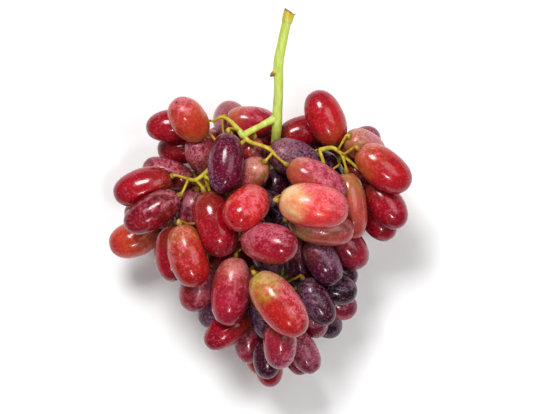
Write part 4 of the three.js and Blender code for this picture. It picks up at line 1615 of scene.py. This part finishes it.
    def build(self) -> None:
        """Builds and dresses the sprays."""
        tree = self.tree()
        finishes = {skin: skin.build() for skin in (self.red, self.dark)}
        for spray in dict.fromkeys(b.spray for b in self.berries):
            members = [b for b in self.berries if b.spray == spray]
            skin = self.dark if spray.startswith("dark") else self.red
            values = {
                "Segments": self.segments,
                "Rings": self.rings,
                "Fullness": self.fullness,
                "Dimple": self.dimple,
                "Dimple Width": self.dimple_width,
                "Lump Size": self.lump_mm * MM,
                "Lump Height": self.lump_height_mm * MM,
                "Finish": finishes[skin],
            }
            name = spray.replace("berries", "grapes").replace("berry", "grape")
            piece = grow(name, self.source(name, members), tree, values)
            radius = np.array([b.radius for b in members])
            number = np.rint(read_attribute(piece.data, "number")).astype(int)
            off_axis = read_attribute(piece.data, "width_share") * radius[number]
            set_attribute(piece.data, "off_axis", "FLOAT", off_axis)
            self.press(piece.data, members)
            self.frost(piece.data, [self.berries.index(b) for b in members])
            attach(piece, BODY)
            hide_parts(spray)
            log.info("%s: %d berries, %d points", name, len(members), len(piece.data.vertices))


@dataclass
class Wood:
    """The stalk with its branches and twigs, swept along their lines."""

    twigs: list[Twig]
    middle: Array
    finish: GreenWood
    sweep: bpy.types.NodeTree = field(init=False)
    material: bpy.types.Material = field(init=False)
    sides: int = 14
    step_mm: float = 0.5
    least_step_mm: float = 0.05  # knots closer than this count as one
    seat_radius: float = 1.55
    slimmer: float = 0.86  # twigs have no flats, so they take less room than the solids' ones
    seat_depth: float = 0.9
    seat_length: float = 1.5
    seat_peak: float = 0.9  # where the seat is thickest, as a share of its depth
    foot_length: float = 1.6  # a twig swells where it leaves its branch
    foot_swell: float = 0.35
    green_radius: float = 1.55  # wood thicker than this is all green
    ripening: float = 0.7  # and ochre where it is thinner than that by this much
    ochre_span: Span = (1.7, 1.1)  # a twig's thinness is the first less its radius over the second
    ochre_range: Span = (0.5, 1)
    bark_cork: float = 0.05
    twig_cork: float = 0.1
    seat_cork: float = 0.45
    bud_drying: Span = (0.7, 1.5)  # how soon a bud's stub gets ochre and brown towards its tip
    peeled_mm: float = 5.5  # the stalk is dried and ochre this far below the cut
    peeled_start: float = 1.2
    peeled_most: float = 0.8
    cut_low_mm: float = 1.6  # the low side of the cut is this far below the stalk's full length
    hollow_mm: float = 0.8  # the face of the cut sinks by about this much
    rim_sides: int = 40
    horn_mm: float = 0.7  # a torn spike on the right
    horn_width: float = 0.3  # in radians
    horn_spread: float = 0.35  # how far it leans out
    slant_mm: float = 1.9  # the left side of the cut is higher by this much
    tear_mm: float = 0.25
    tear_seed: int = 11
    face_thinness: float = 0.8  # at the middle of the cut's face
    face_dryness: float = 0.4
    bark_mm: float = 2.4
    bark_height_mm: float = 0.05
    wart_mm: float = 1.3  # twigs are knobbly
    wart_height_mm: float = 0.5

    def tree(self) -> bpy.types.NodeTree:
        """Builds the tree that sweeps a round bar of changing thickness along every line.

        Returns:
            The tree.
        """
        tree, start = new_tree(
            "wood",
            {
                "Sides": "NodeSocketInt",
                "Bark Size": "NodeSocketFloat",
                "Bark Height": "NodeSocketFloat",
                "Finish": "NodeSocketMaterial",
            },
        )
        given = start.outputs
        line = add_node(tree, "GeometryNodeMeshToCurve", None, {"Mesh": given["Geometry"]})
        ring = add_node(
            tree, "GeometryNodeCurvePrimitiveCircle", None, {"Resolution": given["Sides"], "Radius": 1.0}
        )
        thickness = add_node(
            tree, "GeometryNodeInputNamedAttribute", {"data_type": "FLOAT"}, {"Name": "thickness"}
        )
        bar = add_node(
            tree,
            "GeometryNodeCurveToMesh",
            None,
            {"Curve": line, "Profile Curve": ring, "Scale": thickness, "Fill Caps": True},
        )
        scale = add_node(tree, MATH, {"operation": "DIVIDE"}, {0: 1.0, 1: given["Bark Size"]})
        noise = add_node(tree, NOISE, None, {"Scale": scale, "Detail": 2.0})
        level = add_node(tree, MATH, {"operation": "SUBTRACT"}, {0: noise, 1: 0.5})
        rise = add_node(tree, MATH, {"operation": "MULTIPLY"}, {0: level, 1: given["Bark Height"]})
        normal = add_node(tree, "GeometryNodeInputNormal")
        offset = add_node(tree, VECTOR, {"operation": "SCALE"}, {"Vector": normal, "Scale": rise})
        bark = add_node(tree, "GeometryNodeSetPosition", None, {"Geometry": bar, "Offset": offset})
        finish_tree(tree, start, bark)
        return tree

    def smooth(self, knots: Array, values: Array) -> tuple[Array, Array]:
        """Draws a smooth line through knots, with points at even steps.

        Args:
            knots: Places in millimetres.
            values: A row of numbers for each knot.

        Returns:
            The points and their numbers.
        """
        # Each stretch is a Catmull-Rom curve, which needs one knot more at either end.
        extended = np.vstack([2 * knots[0] - knots[1], knots, 2 * knots[-1] - knots[-2]])
        points, numbers = [], []
        for i in range(len(knots) - 1):
            a, b, c, d = extended[i : i + 4]
            count = max(1, round(float(np.linalg.norm(c - b)) / self.step_mm))
            t = (np.arange(count) / count)[:, None]
            bend = (a - 2.5 * b + 2 * c - d / 2) * t**2
            points.append(b + (c - a) * t / 2 + bend + (1.5 * (b - c) + (d - a) / 2) * t**3)
            numbers.append(values[i] + (values[i + 1] - values[i]) * t)
        points.append(knots[-1:])
        numbers.append(values[-1:])
        return np.concatenate(points), np.concatenate(numbers)

    def swept(self, name: str, lines: Sequence[Line], warty: bool = False) -> None:
        """Sweeps lines into one piece and dresses it.

        Args:
            name: Name of the piece.
            lines: For each line its points, radii, thinness and cork.
            warty: Whether its bark is a twig's.
        """
        mesh = bpy.data.meshes.new(name)
        places = np.concatenate([line[0] for line in lines])
        lengths = [len(line[0]) for line in lines]
        starts = np.cumsum([0, *lengths])
        spans = zip(starts, lengths)
        edges = [(n, n + 1) for start, count in spans for n in range(start, start + count - 1)]
        mesh.from_pydata(self.placed(places), edges, [])
        set_attribute(mesh, "thickness", "FLOAT", np.concatenate([line[1] for line in lines]) * MM)
        set_attribute(mesh, "thinness", "FLOAT", np.concatenate([line[2] for line in lines]))
        set_attribute(mesh, "cork", "FLOAT", np.concatenate([line[3] for line in lines]))
        values = {
            "Sides": self.sides,
            "Bark Size": (self.wart_mm if warty else self.bark_mm) * MM,
            "Bark Height": (self.wart_height_mm if warty else self.bark_height_mm) * MM,
            "Finish": self.material,
        }
        self.dress(grow(name, mesh, self.sweep, values))

    def dress(self, piece: bpy.types.Object) -> None:
        """Says what a piece rides on and stands for, and logs its size.

        Args:
            piece: The piece.
        """
        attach(piece, BODY)
        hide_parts("stem")
        log.info("%s: %d points", piece.name, len(piece.data.vertices))

    def placed(self, places: Array) -> list[list[float]]:
        """Turns places of the layout into places of the scene."""
        return ((places - self.middle) * MM).tolist()

    def branch_line(self, rows: Sequence[Row]) -> Line:
        """Makes the line of the stalk or of a branch.

        Args:
            rows: Its knots and radii.

        Returns:
            Points, radii, thinness and cork.
        """
        table = np.array(rows, float)
        points, radii = self.smooth(table[:, :3], table[:, 3:])
        radii = radii[:, 0]
        thin = np.clip((self.green_radius - radii) / self.ripening, 0, 1)
        cork = np.full(len(points), self.bark_cork)
        if rows is STALK:
            from_cut = np.linalg.norm(points - points[0], axis=1)
            peeled = np.clip(self.peeled_start - from_cut / self.peeled_mm, 0, self.peeled_most)
            thin = np.maximum(thin, peeled)
            kept = from_cut > self.cut_low_mm + self.hollow_mm
            points, radii, thin, cork = points[kept], radii[kept], thin[kept], cork[kept]
        return points, radii, thin, cork

    def bud_line(self) -> Line:
        """Makes the line of the dead stub that a bud left on the side of the stalk.

        Returns:
            Points, radii, thinness and cork.
        """
        points, radii = self.smooth(np.array(BUD_STUB)[:, :3], np.array(BUD_STUB)[:, 3:])
        dried = np.linspace(0, 1, len(points))
        ochre, brown = self.bud_drying
        return points, radii[:, 0], dried**ochre, dried**brown

    def tear(self, angles: Array) -> tuple[Array, Array]:
        """Draws how the stalk tore.

        Args:
            angles: Where round the rim, from the right.

        Returns:
            How high the rim stands there, and how far out.
        """
        draw = seeded_random(self.tear_seed)
        turned = np.minimum(angles, 2 * math.pi - angles)
        horn = np.exp(-((turned / self.horn_width) ** 2))
        slant = (1 - np.cos(turned)) / 2
        rough = np.array([draw() for _ in angles])
        torn = horn * self.horn_mm + slant * self.slant_mm + rough * self.tear_mm
        return torn, 1 + self.horn_spread * horn

    def cut_surface(self) -> tuple[Array, Array, Array]:
        """Places the points of the torn rim and the hollowed face, ring by ring.

        Returns:
            The points, with a single one first and last, and their thinness and dryness.
        """
        top, below = (np.array(row[:3]) for row in STALK[:2])
        out = (top - below) / np.linalg.norm(top - below)
        top = top - out * self.cut_low_mm
        right = np.cross(out, (0.0, 0.0, 1.0))
        right /= np.linalg.norm(right)
        front = np.cross(right, out)
        radius = STALK[0][3]
        angles = np.arange(self.rim_sides) * 2 * math.pi / self.rim_sides
        sideways = np.outer(np.cos(angles), right) + np.outer(np.sin(angles), front)
        torn, spread = self.tear(angles)
        places = [top + out * CUT_RINGS[0][1]]
        for tear_share, height, share, spread_share, _, _ in CUT_RINGS:
            rise = tear_share * torn + height
            width = (share + spread_share * spread) * radius
            places.extend(top + out * rise[:, None] + sideways * width[:, None])
        places.append(np.mean(places[-self.rim_sides :], axis=0))
        thinness, dryness = (
            [0.0, *np.repeat([row[column] for row in CUT_RINGS], self.rim_sides), at_middle]
            for column, at_middle in ((4, self.face_thinness), (5, self.face_dryness))
        )
        return np.array(places), np.array(thinness), np.array(dryness)

    def cut_end(self) -> bpy.types.Object:
        """Builds the torn rim and the hollowed face where the stalk was cut.

        Returns:
            The piece.
        """
        places, thinness, dryness = self.cut_surface()
        count = self.rim_sides
        last = len(places) - 1
        faces = [(0, 1 + (n + 1) % count, 1 + n) for n in range(count)]
        for ring in range(len(CUT_RINGS) - 1):
            for n in range(count):
                a, b = 1 + ring * count + n, 1 + ring * count + (n + 1) % count
                faces.append((a, b, b + count, a + count))
        inner = last - count
        faces.extend((inner + n, inner + (n + 1) % count, last) for n in range(count))
        mesh = bpy.data.meshes.new("cut_end")
        mesh.from_pydata(self.placed(places), [], faces)
        shell = bmesh.new()
        shell.from_mesh(mesh)
        bmesh.ops.recalc_face_normals(shell, faces=shell.faces)
        shell.to_mesh(mesh)
        shell.free()
        mesh.shade_smooth()
        set_attribute(mesh, "thinness", "FLOAT", thinness)
        set_attribute(mesh, "cork", "FLOAT", dryness)
        mesh.materials.append(self.material)
        piece = bpy.data.objects.new("cut_end", mesh)
        bpy.context.scene.collection.objects.link(piece)
        return piece

    def twig_line(self, twig: Twig) -> Line:
        """Makes the line of a twig, with the swollen seat that holds the berry.

        Args:
            twig: The twig.

        Returns:
            Points, radii, thinness and cork.
        """
        knots = np.array(twig.knots)
        apart = np.linalg.norm(np.diff(knots, axis=0), axis=1)
        keep = np.append(True, apart > self.least_step_mm)
        knots, radii = knots[keep], np.array(twig.radii)[keep]
        if twig.has_seat:
            into = knots[0] - knots[1]
            knots[0] = knots[0] + into / np.linalg.norm(into) * self.seat_depth
        points, radii = self.smooth(knots, radii[:, None])
        radii = radii[:, 0]
        steps = np.linalg.norm(np.diff(points, axis=0), axis=1)
        along = np.concatenate([[0], np.cumsum(steps)])
        cork = np.full(len(points), self.twig_cork)
        if twig.has_seat:
            swell = np.exp(-(((along - self.seat_depth * self.seat_peak) / self.seat_length) ** 2))
            radii = radii + (self.seat_radius - radii) * swell
            cork = cork + self.seat_cork * swell
        foot = np.exp(-(((along[-1] - along) / self.foot_length) ** 2))
        radii = radii * (1 + self.foot_swell * foot)
        radii = radii * self.slimmer
        thin = np.clip(self.ochre_span[0] - radii / self.ochre_span[1], *self.ochre_range)
        return points, radii, thin, cork

    def build(self) -> None:
        """Builds and dresses the stalk, the branches and the twigs."""
        self.sweep = self.tree()
        self.material = self.finish.build()
        self.swept("stalk", [self.branch_line(STALK)])
        self.swept("side_branches", [self.branch_line(rows) for rows in BRANCHES])
        self.swept("bud_stub", [self.bud_line()])
        self.dress(self.cut_end())
        self.swept("berry_twigs", [self.twig_line(twig) for twig in self.twigs], warty=True)


@dataclass
class Studio:
    """Pale floor, plain soft light and the camera straight above."""

    middle: Array
    view_mm: tuple[float, float] = (-0.2, -39.3)  # what the middle of the picture shows
    view_height_mm: float = 60  # the plane of the layout's places, above the floor
    view_width_mm: float = 248.4
    distance_mm: float = 1500
    sensor_mm: float = 36
    floor_reach: float = 4  # half the side of the floor, in metres
    aim_height: float = 0.05  # where the lamps point, in metres above the floor
    sky_strength: float = 0.22
    # Name, place, side and power of each lamp, in metres and watts.
    lamps: tuple[tuple[str, Row, float, float], ...] = (
        ("key_light", (-0.25, 0.6, 1.3), 0.42, 14),
        ("fill_light", (0.7, 0.1, 1.2), 0.8, 5),
        ("front_light", (0.1, -0.8, 1.1), 0.14, 3),
    )

    def lamp(self, name: str, place: Row, size: float, power: float) -> None:
        """Adds a square lamp that faces the bunch.

        Args:
            name: Its name.
            place: Where it is, in metres.
            size: Its side in metres.
            power: Its power in watts.
        """
        light = bpy.data.lights.new(name, "AREA")
        light.shape = "SQUARE"
        light.size = size
        light.energy = power
        lamp = bpy.data.objects.new(name, light)
        bpy.context.scene.collection.objects.link(lamp)
        lamp.location = place
        aim = Vector((0, 0, self.aim_height)) - Vector(place)
        lamp.rotation_euler = aim.to_track_quat("-Z", "Y").to_euler()

    def build(self) -> None:
        """Builds the studio."""
        mesh = bpy.data.meshes.new("floor")
        reach = self.floor_reach
        corners = [(-reach, -reach, 0), (reach, -reach, 0), (reach, reach, 0), (-reach, reach, 0)]
        mesh.from_pydata(corners, [], [(0, 1, 2, 3)])
        mesh.materials.append(PaleFloor().build())
        floor = bpy.data.objects.new("floor", mesh)
        bpy.context.scene.collection.objects.link(floor)
        world = bpy.data.worlds.new("studio")
        world.use_nodes = True
        sky = world.node_tree.nodes["Background"]
        sky.inputs["Color"].default_value = linear("#ffffff")
        sky.inputs["Strength"].default_value = self.sky_strength
        bpy.context.scene.world = world
        for name, place, size, power in self.lamps:
            self.lamp(name, place, size, power)
        # The photo has deep reds on a white ground: plain colours, with some more contrast.
        bpy.context.scene.view_settings.view_transform = "Standard"
        bpy.context.scene.view_settings.look = "Medium High Contrast"
        camera = bpy.data.cameras.new("camera")
        camera.sensor_width = self.sensor_mm
        camera.lens = self.sensor_mm * (self.distance_mm - self.view_height_mm) / self.view_width_mm
        eye = bpy.data.objects.new("camera", camera)
        bpy.context.scene.collection.objects.link(eye)
        across, up = (np.array(self.view_mm) - self.middle[:2]) * MM
        eye.location = (across, up, self.distance_mm * MM)
        bpy.context.scene.camera = eye


def middle_of_bunch(berries: Sequence[Berry]) -> Array:
    """Finds where the middle of the solids is in the layout's frame.

    Args:
        berries: The settled berries.

    Returns:
        What has to be taken off a place in the layout, in millimetres.
    """
    offsets = []
    for spray in dict.fromkeys(b.spray for b in berries):
        members = [b for b in berries if b.spray == spray]
        if len(members) == 1:
            low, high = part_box(spray)
            offsets.append(members[0].at - (np.array(low) + np.array(high)) / 2 / MM)
    middle = np.median(offsets, axis=0)
    middle[2] = 0
    return middle


def main() -> None:
    """Builds the whole scene."""
    logging.basicConfig(level=logging.INFO, format="%(name)s: %(message)s")
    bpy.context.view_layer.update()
    berries = BerryLayout().build()
    log.info("%d berries settled", len(berries))
    middle = middle_of_bunch(berries)
    log.info("middle of the bunch at %s", np.round(middle, 2))
    twigs = TwigTree().grow(berries)
    log.info("%d twigs grown", len(twigs))
    # Each skin's flesh tint is partly a painted glow of light shining out through the flesh.
    red = GrapeSkin(
        name="red_grape_skin",
        slot="red_skin",
        bloom_tint="#de8ca0",
        grain_tint="#f08ca0",
        flesh_tint="#b42028",
        bloom_strength=0.5,
        frost_reach=0.8,
        clearness=0.34,
        coat=0.25,
        dust=0.18,
    )
    dark = GrapeSkin(
        name="dark_grape_skin",
        slot="dark_skin",
        bloom_tint="#966c84",
        grain_tint="#b8849a",
        flesh_tint="#5c1030",
        bloom_strength=0.66,
        frost_reach=1.0,
        clearness=0.3,
        coat=0.05,
        dust=0.35,
    )
    GrapeBunch(berries, middle, red, dark).build()
    Wood(twigs, middle, GreenWood()).build()
    Studio(middle).build()


if __name__ == "__main__":
    main()
